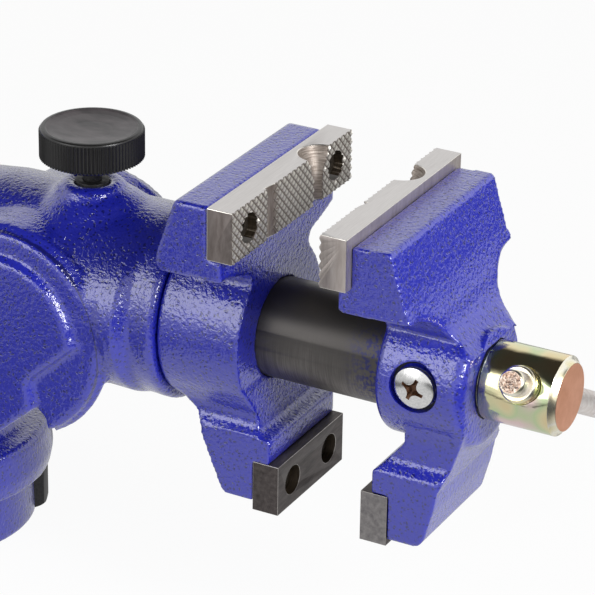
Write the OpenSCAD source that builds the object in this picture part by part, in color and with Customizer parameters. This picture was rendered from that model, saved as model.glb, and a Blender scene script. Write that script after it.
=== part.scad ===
// Multi-jaw bench vise with a rotating head and a swivel base.
// +Z up, +X towards the spindle handle, origin at the centre of the base's underside on the swivel axis.

/* [Layout] */
// Height of the spindle axis above the bench
axis_h = 168; // [164:1:190]
// Distance from the swivel axis to the fixed grip face
jaw_face_x = 234; // [232:1:244]
// Opening between the grip faces at rest
opening = 47.5; // [20:0.5:70]

/* [Upper jaws] */
// Length of the upper jaw plates
plate_l = 127; // [122:1:130]
// Height of the upper jaw plates
plate_h = 28; // [24:1:30]
// Thickness of all the jaw plates
plate_t = 15; // [14:0.5:17]
// Distance between the two screws of an upper plate
plate_pitch = 92; // [88:1:98]
// Height of the upper grip edge over the spindle axis
jaw_top = 88.5; // [86:0.5:92]
// Drop of the moving jaw's casting under its plate
jaw_step = 6; // [4:0.5:8]

/* [Lower jaws] */
// Length of the lower jaw plates
low_plate_l = 72; // [66:1:80]
// Distance between the two screws of a lower plate
low_plate_pitch = 40; // [32:1:44]
// Shift of the lower grip faces towards the spindle
low_shift = 12.2; // [10:0.2:14]
// Depth of the lower grip edge under the spindle axis
low_bottom = 89.5; // [88:0.5:92]

/* [Jaw details] */
// Radius of the screw counterbores in the plates
cbore_r = 8; // [7.5:0.1:8.5]
// Depth of the screw counterbores
cbore_depth = 10; // [8:0.5:11]
// Depth of the serrated step in the grip face
grip_step = 2.5; // [1.5:0.1:3.5]
// Radius of the upright pipe groove
pipe_r = 5; // [4:0.2:6]
// Radius of the countersink at the top of the pipe groove
pipe_mouth_r = 11.5; // [9:0.5:12.5]
// Depth of the countersink at the top of the pipe groove
pipe_mouth_depth = 15; // [10:0.5:18]

/* [Slide bar] */
// Outer radius of the tubular slide bar
bar_r = 26.5; // [25:0.5:27.5]
// Wall of the slide bar
bar_wall = 6; // [5:0.5:7]
// Length of the slide bar
bar_l = 274; // [265:1:280]
// Depth of the slide bar's seat in the moving jaw
bar_seat = 36; // [32:1:38]

/* [Rotating head] */
// Radius of the head's hub
hub_r = 46; // [45:0.5:48]
// Length of the head's hub
hub_l = 48; // [46:1:50]
// Radius of the head's spigot inside the body
spigot_r = 38; // [36:0.5:39]
// Number of index holes around the spigot
index_n = 12; // [4:4:16]

/* [Body] */
// Radius of the neck behind the rotating head
neck_r = 50; // [49:0.5:51]
// Radius of the body's barrel
barrel_r = 50.5; // [49.5:0.5:52]
// Rise of the shoulder over the barrel
shoulder_rise = 4; // [3:0.5:5]
// Radius of the round side cheeks
cheek_r = 60; // [58:0.5:61]
// Distance of a cheek's face from the middle
cheek_y = 54; // [53:0.5:56]
// Distance from the swivel axis to the middle of the cheeks
cheek_x = 91; // [88:1:94]
// Radius of the pedestal column
column_r = 55; // [52:1:57]
// Radius of the swivel flange
flange_r = 72; // [71:0.5:75]
// Thickness of the swivel flange
flange_t = 28; // [27:1:32]

/* [Base] */
// Radius of the swivel base
base_r = 62; // [61:0.5:64]
// Height of the swivel base
base_h = 31; // [30:1:34]
// Distance from the swivel axis to a bench bolt
bolt_reach = 86; // [84:1:92]
// Radius of a bench bolt hole
bolt_hole_r = 6.5; // [5.5:0.1:7]
// Thickness of a mounting ear
ear_t = 16; // [12:1:18]
// Radius of a mounting ear
ear_r = 17; // [15:0.5:19]

/* [Spindle] */
// Radius of the spindle's screw
screw_r = 10; // [9:0.5:11]
// Radius of the spindle's head
head_r = 20.75; // [19:0.25:22]
// Length of the spindle's head
head_l = 41.8; // [40:0.2:46]
// Radius of the handle rod
rod_r = 6.8; // [6:0.1:7.5]
// Length of the handle rod
rod_l = 215; // [180:5:260]
// Tilt of the handle rod
rod_tilt = 28.9; // [0:0.1:60]

/* [Knob] */
// Radius of the lock knob
knob_r = 28; // [25:0.5:29]
// Thickness of the lock knob
knob_t = 18.4; // [16:0.2:20]
// Number of ribs around the lock knob
knob_ribs = 88; // [60:4:96]
// Distance from the swivel axis to the lock knob
knob_x = 114; // [110:1:118]
// Radius of the lock pin
pin_r = 5; // [4:0.25:6]
// Travel of the lock pin
pin_travel = 6; // [4:0.5:8]

/* [Fits] */
// Radial clearance of the running fits
running = 0.05; // [0.03:0.01:0.08]
// Gap between parts that turn or slide past each other
gap = 0.4; // [0.3:0.05:0.6]

/* [Hidden] */
$fn = 64;
eps = 0.5;

// Paint and metal shades
blue = [0.13, 0.14, 0.52];
steel = [0.66, 0.64, 0.61];
dark_steel = [0.36, 0.35, 0.34];
black = [0.10, 0.10, 0.11];
zinc = [0.78, 0.72, 0.50];

// Jaw castings and plates
front_face_x = jaw_face_x + opening;
cast_w = plate_l - 7;
fixed_y = (cast_w - plate_l) / 2;
moving_y = 2;
plate_z = jaw_top - plate_h;
low_top = low_bottom - plate_h;
low_w = low_plate_l;
block_d = 19;

// Head, neck and barrel
head_face_x = jaw_face_x - 7;
seam_x = head_face_x - hub_l - gap;
shoulder_x = seam_x - 15;
barrel_back_x = -62;
shoulder_r = barrel_r + shoulder_rise;
cheek_z = -14.7;
line_r = cheek_r - 2.7;
spigot_back_x = 52;
rear_bore_r = spigot_r + 4.5;
cap_t = 10;
cap_seat_x = barrel_back_x + 12;

// Retaining collar behind the spigot
collar_t = 10;
collar_r = rear_bore_r - gap;
collar_x = spigot_back_x - collar_t - 0.05;
bore_step_x = spigot_back_x + gap;

// Moving jaw
jaw_back_x = front_face_x + 66.5;
jaw_hub_x = front_face_x + 17.5;
jaw_hub_r = 37.5;
low_arm_x = jaw_hub_x + 15;
low_arm_rise = 29;
low_back = 28;
bar_end_x = jaw_hub_x + bar_seat;
bar_start_x = bar_end_x - bar_l;
bar_bore_r = bar_r - bar_wall;
key_w = 8;
key_h = 3;
cross_x = jaw_hub_x + 22.6;
cross_z = 3.5;
cross_hole_r = 5.3;
cross_seat_r = 12.6;
pan_r = 10.1;
pan_crown_r = 13.7;
pan_shank_r = 4.25;

// Spindle
spindle_tip_x = barrel_back_x + 112;
head_x = jaw_back_x + gap;
washer_seat = 2.4;
screw_sink = 6.4;
rod_x = head_x + 22.5;
nut_x = 150;
nut_l = 34;
nut_r = bar_bore_r - 0.7;
nut_slot_w = 16;
stop_x = bar_end_x - 14;
stop_t = 11;
rod_cap_l = 6.3;
rod_cap_r = 9;
rod_tip = 13.6;
rod_ring_r = 9.5;
rod_ring_out = 4.6;
ring_sink = 2.6;

// Swivel lock
flange_z = base_h + gap;
lock_a = 36;
lock_ring_r = 58;
lock_bolt_r = 6;
lock_head = [14, 20, 7.8];
lock_nut_r = 11;
lock_nut_z = 4;
lock_nut_top = base_h - 5.3;
groove_z = flange_z + 8.5;
groove_h = 11.5;
pivot_r = 10;
pivot_seat_z = flange_z + 44;
pivot_hex_r = 16;
pivot_head_h = 9;
pivot_washer_t = 3;
pivot_nut_h = 15;

// Lock knob and its boss
boss_top = shoulder_r + 3.5;
knob_top = boss_top + 30.3;
bush_r = 9;
bush_l = 20;
pin_tip = spigot_r + 0.6;

// Jaw plate screws
screw_head_r = 6.5;
screw_head_h = 5;
screw_shank_r = 4;
screw_l = 14;

function unit(v) = v / norm(v);
// Points of one outline corner: a sharp corner for r = 0, else an arc of radius r
function corner(a, b, c, r) =
    r <= 0 ? [b] :
    let(
        u = unit(a - b), v = unit(c - b),
        half = acos(u * v) / 2,
        centre = b + unit(u + v) * r / sin(half),
        s = b + u * r / tan(half) - centre,
        e = b + v * r / tan(half) - centre,
        a0 = atan2(s[1], s[0]),
        turn = (atan2(e[1], e[0]) - a0 + 540) % 360 - 180,
        n = max(2, ceil(abs(turn) / 15))
    )
    [for (k = [0:n]) centre + r * [cos(a0 + turn * k / n), sin(a0 + turn * k / n)]];
// Outline with rounded corners, from a list of [x, y, radius]
function rounded(p) = [
    for (i = [0:len(p) - 1])
        let(
            a = p[(i + len(p) - 1) % len(p)],
            c = p[(i + 1) % len(p)]
        )
        each corner([a[0], a[1]], [p[i][0], p[i][1]], [c[0], c[1]], p[i][2])
];

module x_rod(r, x0, x1) {
    translate([x0, 0, 0]) rotate([0, 90, 0]) cylinder(r = r, h = x1 - x0);
}
module y_rod(r, y0, y1) {
    translate([0, y1, 0]) rotate([90, 0, 0]) cylinder(r = r, h = y1 - y0);
}
module z_rod(r, z0, z1) {
    translate([0, 0, z0]) cylinder(r = r, h = z1 - z0);
}
// Outline in X and Z, carried along Y
module side_prism(points, y0, y1) {
    translate([0, y1, 0]) rotate([90, 0, 0]) linear_extrude(y1 - y0) polygon(points);
}
// Outline in Y and Z, carried along X
module front_prism(points, x0, x1) {
    translate([x0, 0, 0]) rotate([90, 0, 90]) linear_extrude(x1 - x0) polygon(points);
}
// Outline in X and Y, carried along Z
module top_prism(points, z0, z1) {
    translate([0, 0, z0]) linear_extrude(z1 - z0) polygon(points);
}
module on_axis() {
    translate([0, 0, axis_h]) children();
}
module box(lo, hi) {
    translate(lo) cube(hi - lo);
}

// Low-head socket cap screw along +X, its head's front face at x = 0
module cap_screw(l) {
    difference() {
        union() {
            x_rod(screw_head_r, 0, screw_head_h);
            x_rod(screw_shank_r, screw_head_h, screw_head_h + l);
        }
        translate([-eps, 0, 0]) rotate([0, 90, 0]) cylinder(r = 3.4, h = 3 + eps, $fn = 6);
    }
}
// Children set at both screws of a plate
module at_pair(pitch, z) {
    for (side = [-1, 1]) translate([0, side * pitch / 2, z]) children();
}

// Swivel base

module ear(a) {
    rotate(a) {
        box([0, -ear_r, 0], [bolt_reach, ear_r, ear_t]);
        translate([bolt_reach, 0, 0]) cylinder(r = ear_r, h = ear_t);
    }
}
module lock_spots() {
    for (side = [-1, 1]) rotate(side * lock_a) translate([lock_ring_r, 0, 0]) children();
}
module swivel_base() {
    pocket_z = lock_nut_top + 0.3;
    color(blue) difference() {
        union() {
            rotate_extrude() polygon(rounded([
                [0, 0, 0], [base_r + 1, 0, 3], [base_r, base_h, 2], [0, base_h, 0]
            ]));
            for (a = [90, 180, 270]) ear(a);
        }
        difference() {
            z_rod(base_r - 11, -eps, base_h - 12);
            z_rod(24, -1, base_h);
            for (a = [0:60:300]) rotate(a) box([0, -3, -1], [base_r, 3, base_h]);
        }
        for (a = [90, 180, 270]) rotate(a) translate([bolt_reach, 0, 0]) {
            z_rod(bolt_hole_r, -eps, ear_t + eps);
            z_rod(bolt_hole_r + 5, ear_t - 1.5, ear_t + eps);
        }
        z_rod(pivot_r + running, -eps, base_h + eps);
        z_rod(17.5, -eps, 12);
        lock_spots() {
            z_rod(lock_bolt_r + 0.4, 0, base_h + eps);
            z_rod(lock_nut_r + 2, -eps, pocket_z);
            box([0, -lock_nut_r - 2, -eps], [20, lock_nut_r + 2, pocket_z]);
        }
    }
}
module pivot_bolt() {
    color(dark_steel) {
        translate([0, 0, 12 - pivot_head_h]) cylinder(r = pivot_hex_r, h = pivot_head_h, $fn = 6);
        z_rod(pivot_r, 12, pivot_seat_z + pivot_washer_t + pivot_nut_h + 4);
    }
}
module pivot_washer() {
    color(steel) difference() {
        z_rod(pivot_hex_r + 1, pivot_seat_z + 0.3, pivot_seat_z + 0.3 + pivot_washer_t);
        z_rod(pivot_r + running, pivot_seat_z, pivot_seat_z + pivot_washer_t + 1);
    }
}
module pivot_nut() {
    color(dark_steel) difference() {
        translate([0, 0, pivot_seat_z + 0.3 + pivot_washer_t])
            cylinder(r = pivot_hex_r, h = pivot_nut_h, $fn = 6);
        z_rod(pivot_r + running, pivot_seat_z, pivot_seat_z + 2 * pivot_nut_h);
    }
}
module lock_bolts() {
    color(black) lock_spots() {
        z_rod(lock_bolt_r, lock_nut_z - 1, groove_z + 1.5);
        translate([-lock_head[0] / 2, -lock_head[1] / 2, groove_z + 1.2]) cube(lock_head);
    }
}
module lock_nut(side) {
    color(black) rotate(side * lock_a) translate([lock_ring_r, 0, 0]) difference() {
        intersection() {
            translate([0, 0, lock_nut_z]) rotate(15)
                cylinder(r = lock_nut_r, h = lock_nut_top - lock_nut_z, $fn = 6);
            rotate_extrude() polygon([
                [0, lock_nut_z], [lock_nut_r - 1.5, lock_nut_z], [lock_nut_r + 0.1, lock_nut_z + 2],
                [lock_nut_r + 0.1, lock_nut_top], [0, lock_nut_top]
            ]);
        }
        z_rod(lock_bolt_r + running, 0, base_h);
    }
}
module lock_nut_left() {
    lock_nut(1);
}
module lock_nut_right() {
    lock_nut(-1);
}

// Body

// Outline of the cheek, seen from the side, with the cut-out in front of the column
module cheek_shape(r, y) {
    translate([cheek_x, 0, cheek_z]) intersection() {
        y_rod(r, -y, y);
        side_prism([
            [-100, -100], [-15, -68], [-3, -57.3], [13, -43.3], [16.5, -36.6], [24.6, -43],
            [27.5, -54.7], [28, -100], [100, -100], [100, 100], [-100, 100]
        ], -y - 1, y + 1);
    }
}
// Raised pad on the cheek: a round disc that runs down into a leg
module cheek_pad(y0, y1) {
    translate([cheek_x, 0, cheek_z]) intersection() {
        union() {
            y_rod(44, y0, y1);
            box([-40, y0, -57], [46, y1, 4]);
        }
        side_prism(rounded([
            [-60, -60, 0], [-5, -60, 6], [19, -39, 4], [17, -22, 7], [46, 4, 3],
            [50, 60, 0], [-60, 60, 0]
        ]), y0 - 1, y1 + 1);
    }
}
module vise_body() {
    color(blue) difference() {
        union() {
            on_axis() {
                rotate([0, 90, 0]) rotate_extrude() polygon(rounded([
                    [0, barrel_back_x, 0], [barrel_r + 3, barrel_back_x, 3],
                    [barrel_r + 3, barrel_back_x + 16, 3],
                    [barrel_r - 3.5, barrel_back_x + 26, 6], [barrel_r - 3.5, 30, 12], [barrel_r, 62, 20],
                    [barrel_r, knob_x - 12, 10], [shoulder_r, knob_x + 4, 10],
                    [shoulder_r, shoulder_x - 10, 6], [neck_r, shoulder_x, 5],
                    [neck_r, seam_x - 1.5, 0], [neck_r - 1.5, seam_x, 0], [0, seam_x, 0]
                ]));
                cheek_shape(cheek_r, cheek_y - 6);
                cheek_shape(line_r, cheek_y);
                cheek_pad(-cheek_y - 5, -cheek_y + 8);
                cheek_pad(cheek_y - 8, cheek_y + 5);
                translate([knob_x, 0, 0]) rotate_extrude() polygon(rounded([
                    [0, 20, 0], [40, 20, 0], [34, boss_top - 16, 4], [20, boss_top - 6, 8],
                    [16, boss_top, 3], [0, boss_top, 0]
                ]));
                // Anvil
                side_prism(rounded([
                    [30, barrel_r - 20, 0], [22, barrel_r - 4, 6], [14, barrel_r + 16, 4],
                    [barrel_back_x + 3, barrel_r + 16, 4], [barrel_back_x, barrel_r - 20, 0]
                ]), -26, 26);
            }
            rotate_extrude() polygon(rounded([
                [0, flange_z, 0], [flange_r - 1, flange_z, 2], [flange_r + 1, flange_z + 10, 4],
                [flange_r - 1, flange_z + flange_t, 4], [column_r, flange_z + flange_t + 1, 8],
                [column_r - 2, axis_h - 20, 0], [0, axis_h - 20, 0]
            ]));
        }
        on_axis() {
            x_rod(spigot_r + running, bore_step_x, seam_x + eps);
            x_rod(rear_bore_r, cap_seat_x - eps, bore_step_x);
            x_rod(rear_bore_r + 6, barrel_back_x - eps, cap_seat_x);
            cap_screw_spots() x_rod(2.1, cap_seat_x - eps, cap_seat_x + 16);
            translate([knob_x, 0, 0]) z_rod(bush_r, 20, boss_top + eps);
            translate([knob_x, 0, 0]) z_rod(bush_r + 3, boss_top, boss_top + 30);
        }
        z_rod(pivot_r + running, flange_z - eps, pivot_seat_z + eps);
        z_rod(22, pivot_seat_z, axis_h);
        rotate_extrude() translate([lock_ring_r - 6.6, flange_z - eps]) square([13.2, 12]);
        rotate_extrude() translate([lock_ring_r - 8.5, groove_z]) square([17, groove_h]);
    }
}
module cap_screw_spots() {
    for (a = [45:90:315]) rotate([a, 0, 0]) translate([0, 0, rear_bore_r + 3.1]) children();
}
module rear_cap() {
    color(blue) on_axis() difference() {
        union() {
            x_rod(rear_bore_r + 5.7, barrel_back_x + 1, cap_seat_x - 0.05);
            translate([barrel_back_x + 1, 0, 0]) rotate([0, -90, 0])
                cylinder(r1 = rear_bore_r - 4, r2 = rear_bore_r - 10, h = 4);
        }
        cap_screw_spots() x_rod(2.3, barrel_back_x - 8, cap_seat_x + 1);
    }
}
module rear_cap_screws() {
    color(steel) on_axis() cap_screw_spots() {
        x_rod(2, barrel_back_x + 0.8, cap_seat_x + 12);
        x_rod(2.7, barrel_back_x - 2, barrel_back_x + 0.9);
    }
}
module lock_bush() {
    color(zinc) on_axis() translate([knob_x, 0, 0]) difference() {
        z_rod(bush_r - 0.02, boss_top - bush_l, boss_top + 0.6);
        z_rod(pin_r + running, 0, boss_top + 5);
    }
}
module lock_pin() {
    color(black) on_axis() translate([knob_x, 0, 0])
        z_rod(pin_r, pin_tip, knob_top - knob_t + 9);
}
module lock_knob() {
    bottom = knob_top - knob_t;
    color(black) on_axis() translate([knob_x, 0, 0]) difference() {
        union() {
            translate([0, 0, bottom + 1]) linear_extrude(knob_t - 2.2) polygon([
                for (k = [0:knob_ribs - 1], s = [0, 1])
                    let(a = (k + s / 2) * 360 / knob_ribs)
                    (knob_r - 0.5 * s) * [cos(a), sin(a)]
            ]);
            rotate_extrude() polygon(rounded([
                [0, bottom - 4.5, 0], [11, bottom - 4.5, 1], [11, bottom - 1, 0], [knob_r - 6, bottom - 1, 4],
                [knob_r - 0.7, bottom + 2.5, 3], [knob_r - 0.7, knob_top, 2], [0, knob_top, 0]
            ]));
        }
        rotate_extrude() polygon([
            [0, knob_top - 2.6], [knob_r * 0.45, knob_top - 2.1], [knob_r - 3.2, knob_top],
            [knob_r - 3.2, knob_top + 5], [0, knob_top + 5]
        ]);
        z_rod(pin_r + running, bottom - 10, bottom + 9.2);
    }
}

// Rotating head

module head_blank() {
    y0 = fixed_y - cast_w / 2;
    back_x = jaw_face_x - plate_t - block_d;
    // Upper block that backs the jaw plate
    side_prism(rounded([
        [jaw_face_x - plate_t, jaw_top, 0], [back_x, jaw_top, 2], [back_x - 12, jaw_top - 35, 4],
        [back_x - 9.5, plate_z - 13, 3], [head_face_x, plate_z - 12, 2], [head_face_x, plate_z, 1],
        [jaw_face_x - plate_t, plate_z, 0]
    ]), y0, y0 + cast_w);
    // Web between the hub and the upper block
    arm_sides(head_face_x - 38, head_face_x - 0.05, [
        [hub_r - 5, 12, 0], [34, plate_z - 31, 8], [28, plate_z - 19.5, 6],
        [40, plate_z - 16.5, 4], [56, plate_z - 11, 0]
    ]);
    // Lower block that backs the lower plate, and the narrower arm that carries it
    low_x = jaw_face_x + low_shift - plate_t;
    side_prism(rounded([
        [low_x - 30, -low_top + 13, 3], [low_x - 31.3, -low_top + 9, 3], [low_x - 18.2, -low_bottom + 4.8, 5],
        [low_x, -low_bottom + 4.5, 0], [low_x, -low_top, 0],
        [low_x + 9.5, -low_top, 1], [low_x + 9.5, -low_top + 13.6, 2], [low_x - 10, -low_top + 15.5, 2]
    ]), -low_w / 2, low_w / 2);
    intersection() {
        arm_sides(low_x - 50, low_x + 20, [
            [low_w / 2, -low_top + 10, 0], [low_w / 2 - 1, -low_top + 15, 2], [31, -low_top + 19, 5],
            [31.5, -low_top + 25, 6], [hub_r - 6, -22, 0]
        ]);
        side_prism(rounded([
            [seam_x + 3, -20, 0], [seam_x + 3, -30, 0], [low_x - 33, -low_top + 16, 14],
            [low_x - 29, -low_top + 5, 0], [low_x + 4, -low_top + 5, 0], [low_x + 2, -low_top + 15.5, 0],
            [low_x + 1, -low_top + 18, 3], [head_face_x - 0.05, -18, 0]
        ]), -low_w, low_w);
    }
}
// Symmetrical arm along X from its outline on the +Y side
module arm_sides(x0, x1, half) {
    n = len(half);
    front_prism(rounded([
        for (k = [0:2 * n - 1])
            k < n ? half[k] : [-half[2 * n - 1 - k][0], half[2 * n - 1 - k][1], half[2 * n - 1 - k][2]]
    ]), x0, x1);
}
module rotating_head() {
    color(blue) on_axis() difference() {
        union() {
            translate([seam_x + gap, 0, 0]) rotate([0, 90, 0])
                cylinder(r1 = hub_r - 1.5, r2 = hub_r, h = 1.5);
            x_rod(hub_r, seam_x + gap + 1.5, head_face_x);
            x_rod(spigot_r, spigot_back_x, seam_x + gap + 1);
            head_blank();
        }
        x_rod(bar_r + running, spigot_back_x - 1, head_face_x + 30);
        // Keyway for the slide key, nut slot and index holes
        rotate([-90, 0, 0])
            box([head_face_x - 60, -key_w / 2, bar_r - 1], [head_face_x - 20, key_w / 2, bar_r + key_h]);
        box([nut_x - 1, -nut_slot_w / 2, -spigot_r + 3.5], [nut_x + nut_l + 1, nut_slot_w / 2, -20]);
        translate([nut_x + nut_l / 2, 0, 0]) z_rod(4.1, -spigot_r - 1, -20);
        for (k = [0:index_n - 1]) rotate([k * 360 / index_n, 0, 0])
            translate([knob_x, 0, 0]) z_rod(pin_r + 0.4, spigot_r - 7, spigot_r + 1);
        for (a = [45:90:315]) rotate([a, 0, 0]) translate([0, 0, spigot_r - 5])
            x_rod(2.5, spigot_back_x - 1, spigot_back_x + 12);
        translate([jaw_face_x - plate_t, 0, 0]) {
            at_pair(plate_pitch, plate_z + plate_h / 2) x_rod(screw_shank_r + running, -screw_l + 2, eps);
            translate([low_shift, 0, 0])
                at_pair(low_plate_pitch, -low_top - plate_h / 2)
                    x_rod(screw_shank_r + running, -screw_l + 2, eps);
        }
    }
}
module retaining_collar() {
    color(dark_steel) on_axis() difference() {
        x_rod(collar_r, collar_x, collar_x + collar_t);
        x_rod(bar_r + 1, collar_x - 1, collar_x + collar_t + 1);
        collar_spots() x_rod(2.9, collar_x - 1, collar_x + collar_t + 1);
        collar_spots() x_rod(5, collar_x - 1, collar_x + 4);
    }
}
module collar_spots() {
    for (a = [45:90:315]) rotate([a, 0, 0]) translate([0, 0, spigot_r - 5]) children();
}
module collar_screws() {
    color(steel) on_axis() collar_spots() {
        x_rod(2.45, collar_x + 3.9, collar_x + collar_t + 10);
        x_rod(4.4, collar_x + 0.6, collar_x + 4);
    }
}
module spindle_nut() {
    color(zinc) on_axis() difference() {
        union() {
            x_rod(nut_r, nut_x, nut_x + nut_l);
            box([nut_x, -nut_slot_w / 2 + 0.3, -spigot_r + 3.6], [nut_x + nut_l, nut_slot_w / 2 - 0.3, -8]);
        }
        x_rod(screw_r + running, nut_x - 1, nut_x + nut_l + 1);
        translate([nut_x + nut_l / 2, 0, 0]) z_rod(3.6, -spigot_r, -24);
    }
}
module nut_bolt() {
    color(steel) on_axis() translate([nut_x + nut_l / 2, 0, 0]) z_rod(3.55, -spigot_r + 0.4, -25);
}
module slide_key() {
    color(steel) on_axis() rotate([-90, 0, 0])
        box(
            [head_face_x - 59.9, -key_w / 2 + 0.1, bar_r - 2.6],
            [head_face_x - 20.1, key_w / 2 - 0.1, bar_r + key_h - 0.1]
        );
}

// Jaw plates

// Plan of an upper plate with its grip face at x = 0 and its body on the -X side
function upper_plan(steps) = concat(
    [[-plate_t, -plate_l / 2], [0, -plate_l / 2]],
    [for (s = steps) [-s[1] * grip_step, (s[0] - 0.5) * plate_l]],
    [[0, plate_l / 2], [-plate_t, plate_l / 2]]
);
module upper_plate(steps) {
    groove_y = 0.21 * plate_l;
    difference() {
        top_prism(upper_plan(steps), plate_z, jaw_top);
        at_pair(plate_pitch, plate_z + plate_h / 2) {
            x_rod(screw_shank_r + 0.5, -plate_t - 1, 1);
            x_rod(cbore_r, -cbore_depth, 1);
        }
        translate([0, groove_y, 0]) {
            z_rod(pipe_r, plate_z - 1, jaw_top + 1);
            translate([0, 0, jaw_top - pipe_mouth_depth])
                cylinder(r1 = pipe_r - 1, r2 = pipe_mouth_r, h = pipe_mouth_depth + 0.01);
        }
    }
}
module rear_upper_plate() {
    color(steel) on_axis() translate([jaw_face_x, 0, 0])
        upper_plate([[0.283, 0], [0.2835, 1], [0.38, 0]]);
}
module front_upper_plate() {
    color(steel) on_axis() translate([front_face_x, 0, 0]) mirror([1, 0, 0])
        upper_plate([[0.29, 0], [0.365, 1], [0.3655, 0]]);
}
module lower_plate() {
    difference() {
        box([-plate_t, -low_plate_l / 2, -low_bottom], [0, low_plate_l / 2, -low_top]);
        at_pair(low_plate_pitch, -low_top - plate_h / 2) {
            x_rod(screw_shank_r + 0.5, -plate_t - 1, 1);
            x_rod(cbore_r, -cbore_depth, 1);
        }
    }
}
module rear_lower_plate() {
    color(dark_steel) on_axis() translate([jaw_face_x + low_shift, 0, 0]) lower_plate();
}
module front_lower_plate() {
    color(dark_steel) on_axis() translate([front_face_x + low_shift, 0, 0]) mirror([1, 0, 0]) lower_plate();
}
// Screws of one plate whose grip face is at x = 0, body on the -X side
module plate_screws(pitch, z) {
    at_pair(pitch, z) translate([-cbore_depth + screw_head_h + 0.05, 0, 0]) mirror([1, 0, 0])
        cap_screw(plate_t - cbore_depth + screw_l - 2.5);
}
module rear_upper_screws() {
    color(dark_steel) on_axis() translate([jaw_face_x, 0, 0])
        plate_screws(plate_pitch, plate_z + plate_h / 2);
}
module rear_lower_screws() {
    color(dark_steel) on_axis() translate([jaw_face_x + low_shift, 0, 0])
        plate_screws(low_plate_pitch, -low_top - plate_h / 2);
}
module front_upper_screws() {
    color(dark_steel) on_axis() translate([front_face_x, 0, 0]) mirror([1, 0, 0])
        plate_screws(plate_pitch, plate_z + plate_h / 2);
}
module front_lower_screws() {
    color(dark_steel) on_axis() translate([front_face_x + low_shift, 0, 0]) mirror([1, 0, 0])
        plate_screws(low_plate_pitch, -low_top - plate_h / 2);
}

// Moving jaw

module moving_blank() {
    y0 = moving_y - cast_w / 2;
    seat_x = front_face_x + plate_t;
    top = jaw_top - jaw_step;
    nose_x = seat_x - 7;
    side_prism(rounded([
        [seat_x, top, 1], [seat_x + 21, top + 1, 3], [seat_x + 29.5, plate_z - 5, 4],
        [seat_x + 29.5, plate_z - 13, 3], [nose_x, plate_z - 14, 3], [nose_x, plate_z, 1],
        [seat_x, plate_z, 0]
    ]), y0, y0 + cast_w);
    // Arm from the block down to the hub
    intersection() {
        arm_sides(jaw_hub_x + 0.5, jaw_back_x, [
            [24, 20, 0], [25, plate_z - 32, 0], [29, plate_z - 26, 8], [38, plate_z - 18.5, 8],
            [59, plate_z - 12, 0]
        ]);
        side_prism(rounded([
            [jaw_hub_x + 0.5, plate_z - 8, 0], [seat_x + 24, plate_z - 8, 0], [seat_x + 29.5, plate_z - 11, 3],
            [jaw_back_x - 6, plate_z - 30, 6], [jaw_back_x, 18, 3], [jaw_hub_x + 0.5, 18, 0]
        ]), -cast_w, cast_w);
    }
    rotate([0, 90, 0]) rotate_extrude() polygon(rounded([
        [0, jaw_hub_x, 0], [jaw_hub_r, jaw_hub_x, 5], [jaw_hub_r, jaw_back_x, 6], [0, jaw_back_x, 0]
    ]));
    // Lower block and the narrower arm that carries it
    low_x = front_face_x + low_shift + plate_t;
    block_w = low_w - 0.6;
    side_prism(rounded([
        [low_x - 9.5, -low_top + 13.5, 2], [low_x - 9.5, -low_top, 1], [low_x, -low_top, 0],
        [low_x, -low_bottom + 3.5, 0], [low_x + 17.5, -low_bottom + 3.5, 4],
        [low_x + 20.5, -low_bottom + 8, 3],
        [low_x + low_back - 3, -low_top - 3, 2], [low_x + low_back, -low_top + 14, 4]
    ]), -block_w / 2, block_w / 2);
    intersection() {
        arm_sides(jaw_hub_x, jaw_back_x, [
            [block_w / 2, -low_top + 8, 0], [block_w / 2 - 1, -low_top + 14.5, 2], [29.5, -low_top + 19, 5],
            [29, -low_top + 32, 8], [33, -14, 0]
        ]);
        side_prism(rounded([
            [low_arm_x, -screw_r - 2, 0], [low_arm_x, -low_top + low_arm_rise, 6],
            [low_x - 9, -low_top + 12, 0], [low_x + low_back, -low_top + 10, 0],
            [jaw_back_x - 0.5, -2 * screw_r, 6],
            [jaw_back_x - 0.5, -screw_r - 2, 0]
        ]), -low_w, low_w);
    }
}
module moving_jaw() {
    color(blue) on_axis() difference() {
        moving_blank();
        x_rod(bar_r + running, jaw_hub_x - bar_seat, bar_end_x + 0.05);
        x_rod(screw_r + 0.6, 0, jaw_back_x + 10);
        x_rod(head_r + 2.75, jaw_back_x - washer_seat, jaw_back_x + 10);
        for (side = [-1, 1]) scale([1, side, 1]) translate([cross_x, 0, cross_z]) {
            y_rod(cross_hole_r, -jaw_hub_r - eps, 0);
            y_rod(cross_seat_r, -jaw_hub_r - eps, -jaw_hub_r + screw_sink);
        }
        translate([front_face_x + plate_t, 0, 0]) {
            at_pair(plate_pitch, plate_z + plate_h / 2) x_rod(screw_shank_r + running, -eps, screw_l - 2);
            translate([low_shift, 0, 0])
                at_pair(low_plate_pitch, -low_top - plate_h / 2)
                    x_rod(screw_shank_r + running, -eps, screw_l - 2);
        }
    }
}
module slide_bar() {
    color(black) on_axis() difference() {
        x_rod(bar_r, bar_start_x, bar_end_x);
        x_rod(bar_bore_r, bar_start_x - 1, bar_end_x + 1);
        // Slot that passes the nut's foot, and the keyway
        box([bar_start_x - 1, -nut_slot_w / 2, -bar_r - 1], [bar_end_x - bar_seat - 6, nut_slot_w / 2, 0]);
        rotate([-90, 0, 0])
            box([bar_start_x - 1, -key_w / 2, bar_r - 3], [bar_end_x - bar_seat - 6, key_w / 2, bar_r + 1]);
        for (side = [-1, 1]) scale([1, side, 1]) translate([cross_x, 0, cross_z])
            y_rod(pan_shank_r + running, -bar_r - eps, 0);
    }
}
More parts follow.
